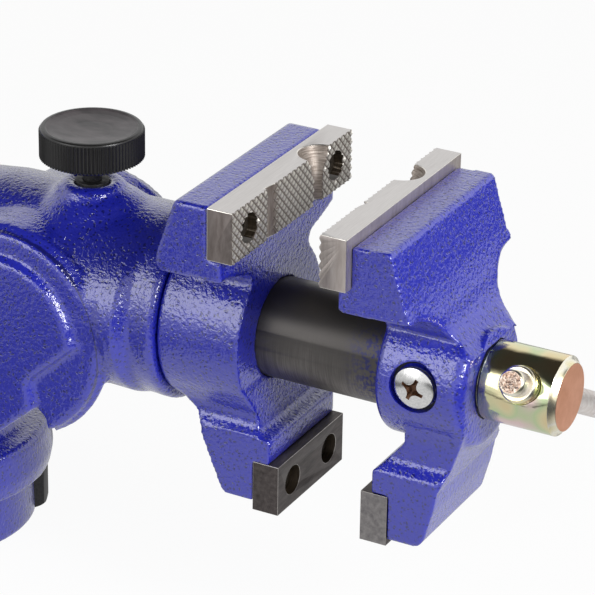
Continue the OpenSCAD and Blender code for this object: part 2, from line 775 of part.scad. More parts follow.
// Pan-head cross-recess screw along +Y, head outwards at -Y
module pan_screw() {
    top = -jaw_hub_r + 0.2;
    difference() {
        union() {
            y_rod(pan_shank_r, -jaw_hub_r + screw_sink - 0.05, -bar_bore_r - 1);
            intersection() {
                y_rod(pan_r, top, -jaw_hub_r + screw_sink - 0.05);
                translate([0, top + pan_crown_r - 0.2, 0]) sphere(r = pan_crown_r);
            }
        }
        for (a = [0, 90]) rotate([0, a + 20, 0])
            side_prism([[-5, -0.9], [5, -0.9], [5, 0.9], [-5, 0.9]], top - 2, top + 2.4);
    }
}
module slide_bar_screws() {
    color(steel) on_axis() for (side = [-1, 1]) scale([1, side, 1])
        translate([cross_x, 0, cross_z]) pan_screw();
}

// Spindle and handle

module tilted() {
    on_axis() translate([rod_x, 0, 0]) rotate([-rod_tilt, 0, 0]) children();
}
module spindle() {
    color(zinc) difference() {
        on_axis() {
            x_rod(screw_r, spindle_tip_x, head_x + 1);
            translate([head_x, 0, 0]) rotate([0, 90, 0]) rotate_extrude() polygon(rounded([
                [0, 0, 0], [head_r, 0, 1.5], [head_r, head_l - 5.3, 0.6], [head_r - 3.2, head_l, 0.6],
                [0, head_l, 0]
            ]));
        }
        tilted() {
            y_rod(rod_r + 0.35, -head_r - 1, head_r + 1);
            // Countersunk seat of the handle's near ring
            translate([0, -head_r + ring_sink + gap, 0]) rotate([90, 0, 0]) {
                cylinder(r = rod_ring_r + 0.5, h = 8);
                translate([0, 0, 1.5]) cylinder(r1 = rod_ring_r + 0.5, r2 = rod_ring_r + 4.5, h = 4);
            }
        }
        on_axis() translate([stop_x + stop_t / 2, 0, 0]) z_rod(2.05, -bar_bore_r, bar_bore_r);
    }
}
module thrust_washer() {
    color(steel) on_axis() difference() {
        x_rod(head_r - 2, jaw_back_x - washer_seat + 0.05, jaw_back_x - 0.1);
        x_rod(screw_r + 0.5, 0, head_x + 1);
    }
}
module spindle_collar() {
    color(dark_steel) on_axis() difference() {
        x_rod(bar_bore_r - 3, stop_x, stop_x + stop_t);
        x_rod(screw_r + running, stop_x - 1, stop_x + stop_t + 1);
        translate([stop_x + stop_t / 2, 0, 0]) z_rod(2.05, -bar_bore_r, bar_bore_r);
    }
}
module collar_pin() {
    color(steel) on_axis() translate([stop_x + stop_t / 2, 0, 0]) z_rod(2, -bar_bore_r + 3.4, bar_bore_r - 3.4);
}
module handle_rod() {
    near_y = -head_r - rod_tip;
    far_y = rod_l - head_r - 2 * rod_cap_l;
    color(steel) tilted() rotate([-90, 0, 0]) rotate_extrude() polygon([
        [0, near_y], [rod_r - 1.1, near_y], [rod_r, near_y + 1.5], [rod_r, far_y], [0, far_y]
    ]);
}
// Peened end of the rod: a short barrel with rounded edges
module rod_end(y) {
    translate([0, y, 0]) rotate([-90, 0, 0]) difference() {
        rotate_extrude() polygon(rounded([
            [0, 0, 0], [rod_cap_r - 1, 0, 1.5], [rod_cap_r, rod_cap_l / 2, 3],
            [rod_cap_r - 1, rod_cap_l, 1.5], [0, rod_cap_l, 0]
        ]));
        z_rod(rod_r + 0.02, -1, rod_cap_l + 1);
    }
}
module handle_near_end() {
    color(steel) tilted() rotate([-90, 0, 0]) rotate_extrude() polygon(rounded([
        [rod_r + 0.02, -head_r - rod_ring_out, 0], [rod_ring_r, -head_r - rod_ring_out, 1.6],
        [rod_ring_r, -head_r + ring_sink, 0.6], [rod_r + 0.02, -head_r + ring_sink, 0]
    ]));
}
module handle_far_end() {
    color(steel) tilted() rod_end(rod_l - head_r - 3 * rod_cap_l);
}

swivel_base();
pivot_bolt();
pivot_washer();
pivot_nut();
lock_bolts();
lock_nut_left();
lock_nut_right();
vise_body();
rear_cap();
rear_cap_screws();
lock_bush();
lock_pin();
lock_knob();
rotating_head();
retaining_collar();
collar_screws();
spindle_nut();
nut_bolt();
slide_key();
rear_upper_plate();
rear_upper_screws();
rear_lower_plate();
rear_lower_screws();
moving_jaw();
front_upper_plate();
front_upper_screws();
front_lower_plate();
front_lower_screws();
slide_bar();
slide_bar_screws();
spindle();
thrust_washer();
spindle_collar();
collar_pin();
handle_rod();
handle_near_end();
handle_far_end();
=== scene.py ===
import math

import bmesh
import bpy
from mathutils import Matrix, Vector, noise


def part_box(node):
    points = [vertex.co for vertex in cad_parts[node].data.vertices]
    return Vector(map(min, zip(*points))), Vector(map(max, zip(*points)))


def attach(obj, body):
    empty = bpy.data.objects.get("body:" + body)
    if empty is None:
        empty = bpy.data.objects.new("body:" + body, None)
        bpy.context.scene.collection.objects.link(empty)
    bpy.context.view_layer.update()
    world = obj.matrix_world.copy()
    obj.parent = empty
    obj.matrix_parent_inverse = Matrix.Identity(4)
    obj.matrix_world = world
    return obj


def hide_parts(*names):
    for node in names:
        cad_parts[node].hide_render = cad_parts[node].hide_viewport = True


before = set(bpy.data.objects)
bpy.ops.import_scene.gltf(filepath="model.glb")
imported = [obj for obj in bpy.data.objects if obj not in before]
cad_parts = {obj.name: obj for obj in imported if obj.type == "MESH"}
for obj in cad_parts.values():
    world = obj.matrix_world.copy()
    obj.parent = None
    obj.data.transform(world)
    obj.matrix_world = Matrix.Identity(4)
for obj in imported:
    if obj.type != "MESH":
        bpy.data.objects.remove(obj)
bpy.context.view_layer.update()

mm = 0.001


# Low corner, high corner and middle of a CAD node, without the mesh's rounding
def placeOf(node):
    low, high = ([round(value, 6) for value in corner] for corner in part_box(node))
    return low, high, [round((a + b) / 2, 6) for a, b in zip(low, high)]


# Places in the part frame, in metres
axisHeight = placeOf("slide_bar")[2][2]
plateLow, plateHigh, plateMiddle = placeOf("rear_upper_plate")
plateLength, plateHeight = (round(plateHigh[axis] - plateLow[axis], 6) for axis in (1, 2))
gripX = plateHigh[0]  # grip face of the fixed upper plate
opening = round(placeOf("front_upper_plate")[0][0] - gripX, 6)
headRadius = -placeOf("spindle")[0][1]
headEnd = placeOf("spindle")[1][0]
rodX = placeOf("handle_rod")[2][0]
cheekX, cheekZ = 0.091, 0.1533  # middle of the body's round cheeks
tilt = math.radians(28.9)  # of the handle, from the level
hubRadius = 37.5 * mm  # of the moving jaw


# Mesh helpers


def addObject(name, data):
    obj = bpy.data.objects.new(name, data)
    bpy.context.scene.collection.objects.link(obj)
    return obj


def meshOf(name, verts, faces):
    mesh = bpy.data.meshes.new(name)
    mesh.from_pydata([tuple(v) for v in verts], [], faces)
    work = bmesh.new()
    work.from_mesh(mesh)
    bmesh.ops.recalc_face_normals(work, faces=work.faces)
    work.to_mesh(mesh)
    work.free()
    return mesh


def bake(obj):
    depsgraph = bpy.context.evaluated_depsgraph_get()
    mesh = bpy.data.meshes.new_from_object(obj.evaluated_get(depsgraph))
    obj.modifiers.clear()
    obj.data = mesh
    return obj


def modifier(obj, kind, **values):
    mod = obj.modifiers.new(kind.lower(), kind)
    for key, value in values.items():
        setattr(mod, key, value)
    return mod


def breakEdges(obj, width, degrees=38, lookIndex=-1):
    modifier(
        obj,
        "BEVEL",
        width=width,
        segments=2,
        limit_method="ANGLE",
        angle_limit=math.radians(degrees),
        material=lookIndex,
    )
    return bake(obj)


def shadeByAngle(obj, degrees):
    obj.data.polygons.foreach_set("use_smooth", [True] * len(obj.data.polygons))
    obj.data.set_sharp_from_angle(angle=math.radians(degrees))
    return obj


def join(name, objs):
    work = bmesh.new()
    materials = []
    for obj in objs:
        offset = {}
        for index, mat in enumerate(obj.data.materials):
            if mat not in materials:
                materials.append(mat)
            offset[index] = materials.index(mat)
        start = len(work.faces)
        mesh = obj.data.copy()
        mesh.transform(obj.matrix_world)
        work.from_mesh(mesh)
        work.faces.ensure_lookup_table()
        for face in work.faces[start:]:
            face.material_index = offset.get(face.material_index, 0)
    mesh = bpy.data.meshes.new(name)
    work.to_mesh(mesh)
    work.free()
    for mat in materials:
        mesh.materials.append(mat)
    for obj in objs:
        bpy.data.objects.remove(obj)
    return addObject(name, mesh)


def mergedCopy(node, name, dissolve=True):
    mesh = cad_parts[node].data.copy()
    mesh.materials.clear()
    work = bmesh.new()
    work.from_mesh(mesh)
    bmesh.ops.remove_doubles(work, verts=work.verts, dist=2e-6)
    if dissolve:
        flat = math.radians(0.6)
        bmesh.ops.dissolve_limit(work, angle_limit=flat, verts=work.verts, edges=work.edges)
    work.to_mesh(mesh)
    work.free()
    return addObject(name, mesh)


# Points of a lathe outline with its corners rounded, from (radius, height, rounding)
def roundedOutline(points, steps=4):
    result = []
    for index, (r, h, fillet) in enumerate(points):
        here = Vector((r, h))
        if fillet <= 0 or index in (0, len(points) - 1):
            result.append(here)
            continue
        u = (Vector(points[index - 1][:2]) - here).normalized()
        v = (Vector(points[index + 1][:2]) - here).normalized()
        half = math.acos(max(-1, min(1, u.dot(v)))) / 2
        reach = fillet / math.tan(half)
        for k in range(steps + 1):
            t = k / steps
            a, b = here + u * reach, here + v * reach
            result.append((1 - t) ** 2 * a + 2 * t * (1 - t) * here + t * t * b)
    return result


def lathe(name, points, segments=96, place=None, ripple=None):
    verts, faces, rings = [], [], []
    for r, h in points:
        if r < 1e-7:
            rings.append([len(verts)])
            verts.append(Vector((0, 0, h)))
            continue
        rings.append(list(range(len(verts), len(verts) + segments)))
        for k in range(segments):
            a = 2 * math.pi * k / segments
            wide = r + (ripple(a, r, h) if ripple else 0)
            verts.append(Vector((wide * math.cos(a), wide * math.sin(a), h)))
    for low, high in zip(rings, rings[1:]):
        for k in range(segments):
            n = (k + 1) % segments
            if len(low) == 1 and len(high) == 1:
                continue
            if len(low) == 1:
                faces.append((low[0], high[k], high[n]))
            elif len(high) == 1:
                faces.append((low[k], low[n], high[0]))
            else:
                faces.append((low[k], low[n], high[n], high[k]))
    mesh = meshOf(name, verts, faces)
    if place:
        mesh.transform(place)
    return addObject(name, mesh)


def cut(obj, cutters):
    for cutter in cutters:
        settings = {"operation": "DIFFERENCE", "solver": "EXACT", "material_mode": "TRANSFER"}
        modifier(obj, "BOOLEAN", object=cutter, **settings)
        bake(obj)
        bpy.data.objects.remove(cutter)
    return obj


# Node trees


def wire(tree, kind, inputs=None, **values):
    node = tree.nodes.new(kind)
    for key, value in values.items():
        setattr(node, key, value)
    for key, value in (inputs or {}).items():
        if isinstance(value, bpy.types.NodeSocket):
            tree.links.new(value, node.inputs[key])
        else:
            node.inputs[key].default_value = value
    return node


def mathOn(tree, operation, *values):
    node = tree.nodes.new("ShaderNodeMath")
    node.operation = operation
    for socket, value in zip(node.inputs, values):
        if isinstance(value, (int, float)):
            socket.default_value = value
        else:
            tree.links.new(value, socket)
    return node.outputs["Value"]


def vectorOn(tree, **axes):
    return wire(tree, "ShaderNodeCombineXYZ", axes).outputs["Vector"]


def axesOf(tree, vector):
    return wire(tree, "ShaderNodeSeparateXYZ", {"Vector": vector}).outputs


# A node tree that makes geometry from named sizes; its last nodes realize and paint what it made
def shapeTree(name, sizes, mat, only=None):
    tree = bpy.data.node_groups.new(name, "GeometryNodeTree")
    for label, value in sizes.items():
        kind = "NodeSocketInt" if isinstance(value, int) else "NodeSocketFloat"
        tree.interface.new_socket(name=label, in_out="INPUT", socket_type=kind).default_value = value
    tree.interface.new_socket(name="Geometry", in_out="OUTPUT", socket_type="NodeSocketGeometry")
    source = tree.nodes.new("NodeGroupInput")
    sink = tree.nodes.new("NodeGroupOutput")
    real = tree.nodes.new("GeometryNodeRealizeInstances")
    paint = tree.nodes.new("GeometryNodeSetMaterial")
    paint.inputs["Material"].default_value = mat
    if only:
        picked = wire(tree, "GeometryNodeMaterialSelection", {"Material": only})
        tree.links.new(picked.outputs["Selection"], paint.inputs["Selection"])
    tree.links.new(real.outputs["Geometry"], paint.inputs["Geometry"])
    tree.links.new(paint.outputs["Geometry"], sink.inputs["Geometry"])
    return tree, source, real.inputs["Geometry"]


def fromTree(name, tree, sizes, place=None):
    obj = addObject(name, bpy.data.meshes.new(name))
    mod = obj.modifiers.new("shape", "NODES")
    mod.node_group = tree
    for item in tree.interface.items_tree:
        if item.in_out == "INPUT":
            mod[item.identifier] = sizes[item.name]
    bake(obj)
    if place:
        obj.data.transform(place)
    return obj


# Copies of a shape on points, turned about Z by equal shares of a full turn
def turnedCopies(tree, source, target, points, shape):
    index = wire(tree, "GeometryNodeInputIndex").outputs["Index"]
    share = mathOn(tree, "DIVIDE", index, source.outputs["Count"])
    facing = vectorOn(tree, Z=mathOn(tree, "MULTIPLY", share, 2 * math.pi))
    copies = {"Points": points, "Instance": shape, "Rotation": facing}
    put = wire(tree, "GeometryNodeInstanceOnPoints", copies)
    tree.links.new(put.outputs["Instances"], target)
    return tree


alongX = Matrix.Rotation(math.pi / 2, 4, "Y")
alongRod = Matrix.Rotation(-tilt - math.pi / 2, 4, "X")
rodPlace = Matrix.Translation((rodX, 0, axisHeight)) @ alongRod


def atX(x):
    return Matrix.Translation((x, 0, axisHeight)) @ alongX


# Materials


def blankMaterial(name, look):
    mat = bpy.data.materials.new(name)
    mat.use_nodes = True
    tree = mat.node_tree
    shader = tree.nodes["Principled BSDF"]
    shader.inputs["Base Color"].default_value = (*look["color"], 1)
    shader.inputs["Metallic"].default_value = look.get("metallic", 0.0)
    shader.inputs["Roughness"].default_value = look["roughness"]
    shader.inputs["IOR"].default_value = look.get("ior", 1.5)
    coords = wire(tree, "ShaderNodeTexCoord")
    stretch = {"Vector": coords.outputs["Object"], "Scale": look.get("stretch", (1, 1, 1))}
    return mat, tree, shader, wire(tree, "ShaderNodeMapping", stretch)


def noiseOn(tree, place, scale, detail=2.0, rough=0.5):
    inputs = {"Vector": place.outputs["Vector"], "Scale": scale, "Detail": detail, "Roughness": rough}
    return wire(tree, "ShaderNodeTexNoise", inputs).outputs["Fac"]


# Colours along a value, from stops of (place, colour)
def rampOn(tree, value, *stops):
    ramp = wire(tree, "ShaderNodeValToRGB", {"Fac": value})
    elements = ramp.color_ramp.elements
    while len(elements) < len(stops):
        elements.new(0.5)
    for element, (at, color) in zip(elements, stops):
        element.position = at
        element.color = (*color, 1)
    return ramp.outputs["Color"]


def bumpOn(tree, value, distance, before=None):
    inputs = {"Height": value, "Distance": distance, "Strength": 1.0}
    if before:
        inputs["Normal"] = before
    return wire(tree, "ShaderNodeBump", inputs).outputs["Normal"]


def stepOn(tree, value, low, high, lowOut=0.0, highOut=1.0):
    inputs = {"Value": value, "From Min": low, "From Max": high, "To Min": lowOut, "To Max": highOut}
    return wire(tree, "ShaderNodeMapRange", inputs, interpolation_type="SMOOTHSTEP").outputs["Result"]


# Gloss enamel with a pitted, slightly rippled skin
hammered = {
    "color": (0.016, 0.022, 0.41),
    # colour deep in the pits: painted shade
    "shade": (0.005, 0.007, 0.15),
    "roughness": 0.34,
    "ior": 1.5,
    "specular": 0.22,
    "pits": 420,  # to the metre
    "pitFrom": 0.14,
    "pitTo": 0.4,
    "pitDepth": 0.1 * mm,
    "wobble": 260,
    "wobbleReach": 3 * mm,
    "ripples": 470,
    "rippleDepth": 0.45 * mm,
    "coatRoughness": 0.1,
    "coatIor": 1.85,
}

# Parting line of the body's mould, round its cheeks
partingLine = {
    "radius": 57.3 * mm,
    "halfWidth": 0.32 * mm,
    "edge": (0.6, 1.5),
    "inner": (47.5 * mm, 46.5 * mm),
    "low": (0.128, 0.12),
}


def partingTone(tree, place, pits):
    at = axesOf(tree, place.outputs["Vector"])
    outX = mathOn(tree, "SUBTRACT", at["X"], cheekX)
    outZ = mathOn(tree, "SUBTRACT", at["Z"], cheekZ)
    squares = mathOn(tree, "ADD", mathOn(tree, "MULTIPLY", outX, outX), mathOn(tree, "MULTIPLY", outZ, outZ))
    beside = mathOn(tree, "SUBTRACT", mathOn(tree, "SQRT", squares), partingLine["radius"])
    edge = [partingLine["halfWidth"] * share for share in partingLine["edge"]]
    off = stepOn(tree, mathOn(tree, "ABSOLUTE", beside), *edge)
    inner = stepOn(tree, mathOn(tree, "ABSOLUTE", at["Y"]), *partingLine["inner"])
    under = stepOn(tree, at["Z"], *partingLine["low"])
    hidden = mathOn(tree, "MAXIMUM", inner, under)
    return mathOn(tree, "MINIMUM", pits, mathOn(tree, "MAXIMUM", off, hidden))


def hammeredPaint(name, parted=False):
    mat, tree, shader, place = blankMaterial(name, hammered)
    shader.inputs["Specular IOR Level"].default_value = hammered["specular"]
    shader.inputs["Coat Weight"].default_value = 1.0
    shader.inputs["Coat Roughness"].default_value = hammered["coatRoughness"]
    shader.inputs["Coat IOR"].default_value = hammered["coatIor"]
    at = place.outputs["Vector"]
    wobble = wire(tree, "ShaderNodeTexNoise", {"Vector": at, "Scale": hammered["wobble"]})
    reach = (hammered["wobbleReach"],) * 3
    warp = wire(
        tree, "ShaderNodeVectorMath", {0: wobble.outputs["Color"], 1: reach, 2: at}, operation="MULTIPLY_ADD"
    )
    cells = wire(tree, "ShaderNodeTexVoronoi", {"Vector": warp.outputs["Vector"], "Scale": hammered["pits"]})
    pits = stepOn(tree, cells.outputs["Distance"], hammered["pitFrom"], hammered["pitTo"])
    ripples = noiseOn(tree, warp, hammered["ripples"])
    rippled = bumpOn(tree, ripples, hammered["rippleDepth"])
    pitted = bumpOn(tree, pits, hammered["pitDepth"], before=rippled)
    tone = partingTone(tree, place, pits) if parted else pits
    # the pits are coloured toward the shade colour: painted shade in the pits
    color = rampOn(tree, tone, (0.0, hammered["shade"]), (1.0, hammered["color"]))
    tree.links.new(pitted, shader.inputs["Normal"])
    tree.links.new(pitted, shader.inputs["Coat Normal"])
    tree.links.new(color, shader.inputs["Base Color"])
    return mat


def metal(name, look):
    mat, tree, shader, place = blankMaterial(name, look)
    grain = noiseOn(tree, place, look["grain"], 3.0, 0.6)
    color = rampOn(tree, grain, *zip((0.3, 0.7), look["tones"]))
    tree.links.new(color, shader.inputs["Base Color"])
    tree.links.new(bumpOn(tree, grain, look["bump"]), shader.inputs["Normal"])
    return mat


# Steel that darkens and dulls with the depth below the grip face, for the serrations
def knurlSteel(name, look):
    mat, tree, shader, place = blankMaterial(name, look)
    offCentre = mathOn(tree, "SUBTRACT", axesOf(tree, place.outputs["Vector"])["X"], gripX + opening / 2)
    depth = mathOn(tree, "SUBTRACT", mathOn(tree, "ABSOLUTE", offCentre), opening / 2)
    grain = noiseOn(tree, place, look["grain"], 2.0, 0.6)
    wobbledDepth = mathOn(tree, "ADD", depth, mathOn(tree, "MULTIPLY", grain, look["depthWobble"]))
    shade = stepOn(tree, wobbledDepth, look["darkFrom"], look["darkTo"])
    color = rampOn(tree, shade, (0.0, look["color"]), (1.0, look["dirt"]))
    tree.links.new(color, shader.inputs["Base Color"])
    dulled = mathOn(tree, "MULTIPLY_ADD", shade, -look["dulling"], look["metallic"])
    tree.links.new(dulled, shader.inputs["Metallic"])
    return mat


# Passivated zinc whose tint drifts from gold to green and pink
def driftingZinc(name, look):
    mat, tree, shader, place = blankMaterial(name, look)
    drift = noiseOn(tree, place, look["drift"], 1.0, 0.4)
    tree.links.new(rampOn(tree, drift, *look["tints"]), shader.inputs["Base Color"])
    lines = noiseOn(tree, place, look["grain"], 2.0, 0.6)
    dents = noiseOn(tree, place, look["dents"], 1.0, 0.4)
    worn = bumpOn(tree, dents, look["dentDepth"])
    tree.links.new(bumpOn(tree, lines, look["bump"], before=worn), shader.inputs["Normal"])
    return mat


def mixedOn(tree, share, under, over):
    mix = wire(tree, "ShaderNodeMix", {"Factor": share, "A": under}, data_type="RGBA")
    mix.inputs["B"].default_value = (*over, 1)
    return mix.outputs["Result"]


# Turned tube: rings around it, darker on top as painted shade, paint mist beside the jaw
def turnedTube(name, look):
    mat, tree, shader, place = blankMaterial(name, look)
    rings = noiseOn(tree, place, look["grain"], 3.0, 0.65)
    spot = wire(tree, "ShaderNodeTexCoord").outputs["Object"]
    at = axesOf(tree, spot)
    patches = wire(tree, "ShaderNodeTexNoise", {"Vector": spot, "Scale": look["patches"]})
    rise = mathOn(tree, "MULTIPLY", patches.outputs["Fac"], look["patchRise"])
    height = mathOn(tree, "ADD", at["Z"], rise)
    # painted shade: the tube's top is darkened, its edge wandering with the patches
    top = stepOn(tree, height, axisHeight + look["topShadeFrom"], axisHeight + look["topShadeTo"])
    turned = rampOn(tree, rings, *zip((0.3, 0.72), look["tones"]))
    topShaded = mixedOn(tree, top, turned, look["oil"])
    mistX, mistY = stepOn(tree, at["X"], *look["mistX"]), stepOn(tree, at["Y"], *look["mistY"])
    beside = mathOn(tree, "MULTIPLY", mistX, mistY)
    speckle = wire(tree, "ShaderNodeTexNoise", {"Vector": spot, "Scale": look["specks"]})
    mist = mathOn(tree, "MULTIPLY", beside, stepOn(tree, speckle.outputs["Fac"], *look["speckEdge"]))
    tree.links.new(mixedOn(tree, mist, topShaded, look["mist"]), shader.inputs["Base Color"])
    tree.links.new(bumpOn(tree, rings, look["bump"]), shader.inputs["Normal"])
    return mat


def steel(low, high, **more):
    plain = {"metallic": 0.85, "roughness": 0.4, "grain": 700, "bump": 0.02 * mm}
    return {"color": high, "tones": (low, high)} | plain | more


metals = {
    "plateTop": steel(
        (0.6, 0.575, 0.56),
        (0.68, 0.655, 0.64),
        stretch=(1, 0.04, 1),
        grain=2200,
        roughness=0.3,
        bump=0.006 * mm,
    ),
    "plateSide": steel((0.5, 0.44, 0.41), (0.66, 0.6, 0.57), stretch=(1, 1, 0.15), grain=420, roughness=0.42),
    # darker copy of plateSide for the fixed plate's ends: painted shade
    "plateSideDark": steel(
        (0.14, 0.118, 0.11), (0.24, 0.21, 0.2), stretch=(1, 1, 0.2), grain=420, roughness=0.45
    ),
    "plateGroove": steel(
        (0.14, 0.11, 0.09),
        (0.42, 0.37, 0.33),
        stretch=(0.08, 0.08, 1),
        grain=1900,
        roughness=0.5,
        metallic=0.7,
    ),
    "plateRamp": steel((0.22, 0.175, 0.15), (0.42, 0.36, 0.32), stretch=(1, 1, 0.1), grain=1100),
    "brightEdge": steel((0.8, 0.76, 0.7), (0.95, 0.92, 0.86), roughness=0.28, metallic=1.0),
    "lowPlate": steel(
        (0.055, 0.047, 0.046), (0.12, 0.104, 0.1), stretch=(1, 0.2, 1), grain=420, roughness=0.42
    ),
    "lowEdge": steel((0.3, 0.28, 0.27), (0.5, 0.48, 0.46), roughness=0.3, metallic=1.0),
    "lowPlateEnd": steel((0.17, 0.16, 0.165), (0.3, 0.285, 0.28), grain=380, roughness=0.42),
    "bore": steel(
        (0.022, 0.016, 0.01),
        (0.07, 0.05, 0.03),
        stretch=(1, 0.1, 0.1),
        grain=1500,
        metallic=0.5,
        roughness=0.5,
    ),
    "holeDark": steel((0.012, 0.009, 0.006), (0.04, 0.03, 0.02), metallic=0.3, roughness=0.6),
    # near-black for the jaw's seat floors and the gap round the spindle head: a painted shadow
    "seatShadowBlack": steel((0.004, 0.004, 0.012), (0.008, 0.008, 0.03), metallic=0.0, roughness=0.5),
    "blackOxide": steel((0.012, 0.012, 0.013), (0.035, 0.034, 0.034), metallic=0.3, roughness=0.5),
    "knobBlack": steel(
        (0.008, 0.008, 0.008), (0.018, 0.017, 0.017), metallic=0.0, roughness=0.3, grain=1500, bump=0.05 * mm
    ),
    # lighter, mottled tone on the knob's dish: worn smears together with painted sheen
    "knobDish": steel(
        (0.022, 0.02, 0.022),
        (0.115, 0.1, 0.105),
        stretch=(0.6, 1.3, 1),
        grain=75,
        metallic=0.0,
        roughness=0.38,
    ),
    "zinc": steel((0.68, 0.68, 0.68), (0.84, 0.84, 0.83), metallic=1.0, roughness=0.2, bump=0.01 * mm),
    "rodSteel": steel((0.68, 0.6, 0.56), (0.88, 0.84, 0.81), roughness=0.34, grain=220),
    "copperFace": steel(
        (0.62, 0.29, 0.17), (0.72, 0.36, 0.23), metallic=0.6, roughness=0.45, grain=130, bump=0.01 * mm
    ),
    "pittedEnd": steel(
        (0.3, 0.16, 0.1), (0.78, 0.66, 0.56), metallic=0.95, roughness=0.3, grain=650, bump=0.2 * mm
    ),
    "recessBrown": steel((0.05, 0.02, 0.01), (0.16, 0.07, 0.03), metallic=0.4, roughness=0.5),
}

serration = {
    "color": (0.8, 0.77, 0.71),
    "dirt": (0.06, 0.04, 0.03),
    "darkFrom": 0.45 * mm,
    "darkTo": 1.3 * mm,
    "depthWobble": 0.35 * mm,
    "grain": 700,
    "metallic": 0.75,
    "dulling": 0.7,
    "roughness": 0.34,
}

tubeSteel = {
    "color": (0.1, 0.095, 0.09),
    "tones": ((0.1, 0.092, 0.088), (0.22, 0.205, 0.195)),
    # painted shade on the tube's top, and where it starts and ends over the axis
    "oil": (0.075, 0.07, 0.067),
    "topShadeFrom": -12 * mm,
    "topShadeTo": 22 * mm,
    "patches": 55,
    "patchRise": 20 * mm,
    "mist": (0.02, 0.024, 0.15),
    "mistX": (0.274, 0.3),
    "mistY": (-12 * mm, -24 * mm),
    "specks": 520,
    "speckEdge": (0.42, 0.62),
    "stretch": (1, 0.04, 0.04),
    "grain": 1500,
    "bump": 0.04 * mm,
    "metallic": 0.75,
    "roughness": 0.4,
}

goldZinc = {
    "color": (0.75, 0.68, 0.42),
    "tints": (
        (0.3, (0.8, 0.62, 0.36)),
        (0.45, (0.74, 0.68, 0.42)),
        (0.56, (0.56, 0.66, 0.4)),
        (0.7, (0.78, 0.6, 0.58)),
    ),
    "drift": 55,
    "metallic": 1.0,
    "roughness": 0.11,
    "grain": 900,
    "bump": 0.008 * mm,
    "dents": 160,
    "dentDepth": 0.12 * mm,
}

brightZinc = {
    "color": (0.92, 0.84, 0.62),
    "tints": ((0.3, (0.95, 0.86, 0.62)), (0.5, (0.95, 0.92, 0.8)), (0.7, (0.88, 0.8, 0.5))),
    "drift": 90,
    "metallic": 1.0,
    "roughness": 0.24,
    "grain": 900,
    "bump": 0.01 * mm,
    "dents": 300,
    "dentDepth": 0.06 * mm,
}

looks = {name: metal(name, look) for name, look in metals.items()}
looks["paint"] = hammeredPaint("hammeredPaint")
looks["partedPaint"] = hammeredPaint("partedPaint", parted=True)
looks["knurl"] = knurlSteel("knurlSteel", serration)
looks["tube"] = turnedTube("turnedTube", tubeSteel)
looks["gold"] = driftingZinc("goldZinc", goldZinc)
looks["goldBright"] = driftingZinc("goldBright", brightZinc)
print("materials ready")


def finishPiece(obj, body, node, look=None):
    if look and looks[look] not in list(obj.data.materials):
        obj.data.materials.append(looks[look])
    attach(obj, body)
    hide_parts(node)
    print("made", obj.name, len(obj.data.polygons))
    return obj


# Castings: the CAD solid with soft edges under the paint


def smoothStep(low, high, value):
    t = max(0.0, min(1.0, (value - low) / (high - low)))
    return t * t * (3 - 2 * t)


# Smoothing that works only where a weight says so, for blends between arms and blocks
def soften(obj, weigh, rounds):
    group = obj.vertex_groups.new(name="soft")
    for vert in obj.data.vertices:
        weight = weigh(vert.co)
        if weight > 0:
            group.add([vert.index], weight, "REPLACE")
    modifier(obj, "SMOOTH", factor=0.5, iterations=rounds, vertex_group="soft")
    bake(obj)
    obj.vertex_groups.clear()


# The barrel swells at its sides only: its top and underside run straight to the neck
barrel = {
    "from": 0.112,
    "to": 0.176,
    "fadeIn": 14 * mm,
    "fadeOut": 4 * mm,
    "wall": (45 * mm, 60 * mm),  # radii that its outer skin lies between
    "topRadius": 50.4 * mm,
    "topMost": 50.6 * mm,
    "lowRadius": 50.3 * mm,
    "lowTaper": 0.055,
    "sideRadius": 55.6 * mm,
    "fullFrom": 0.148,  # past this the sides grow as well as shrink
    "fullSide": 0.35,
    "ridge": 0.1575,  # where the swelling drops to the neck
    "neck": 0.1640,
    "neckRadius": 49.0 * mm,
    "backRadius": 50 * mm,
    "knobClear": (20 * mm, 33 * mm),
}

# Round cheeks on the barrel's sides, drawn in between their outer faces
cheek = {
    "radius": 60 * mm,
    "waist": 49 * mm,
    "face": 44 * mm,
    "inner": (34 * mm, 46.5 * mm),
    "widest": 47 * mm,
    "fadeX": (0.1, 0.112),
    "below": -30 * mm,
}


def trimCheek(co):
    outX, outZ = co.x - cheekX, co.z - cheekZ
    fromCheek = math.hypot(outX, outZ)
    inward = smoothStep(*cheek["fadeX"], co.x) * (1 - smoothStep(*cheek["inner"], abs(co.y)))
    scale = 1 - inward * (1 - cheek["waist"] / fromCheek)
    co.x, co.z = cheekX + outX * scale, cheekZ + outZ * scale


# How far from the axis the barrel's skin lies at a place along X
def barrelRadius(x, side, above):
    upright = barrel["topRadius"] if above else barrel["lowRadius"] - (barrel["to"] - x) * barrel["lowTaper"]
    wide = barrel["sideRadius"]
    if x > barrel["ridge"]:
        drop = smoothStep(barrel["ridge"], barrel["neck"], x)
        back = smoothStep(barrel["neck"] + 2 * mm, barrel["to"], x)
        wide += (barrel["neckRadius"] - wide) * drop + (barrel["backRadius"] - barrel["neckRadius"]) * back
        upright = min(upright, barrel["topMost"])
    return upright + (wide - upright) * (side * side if above else side)


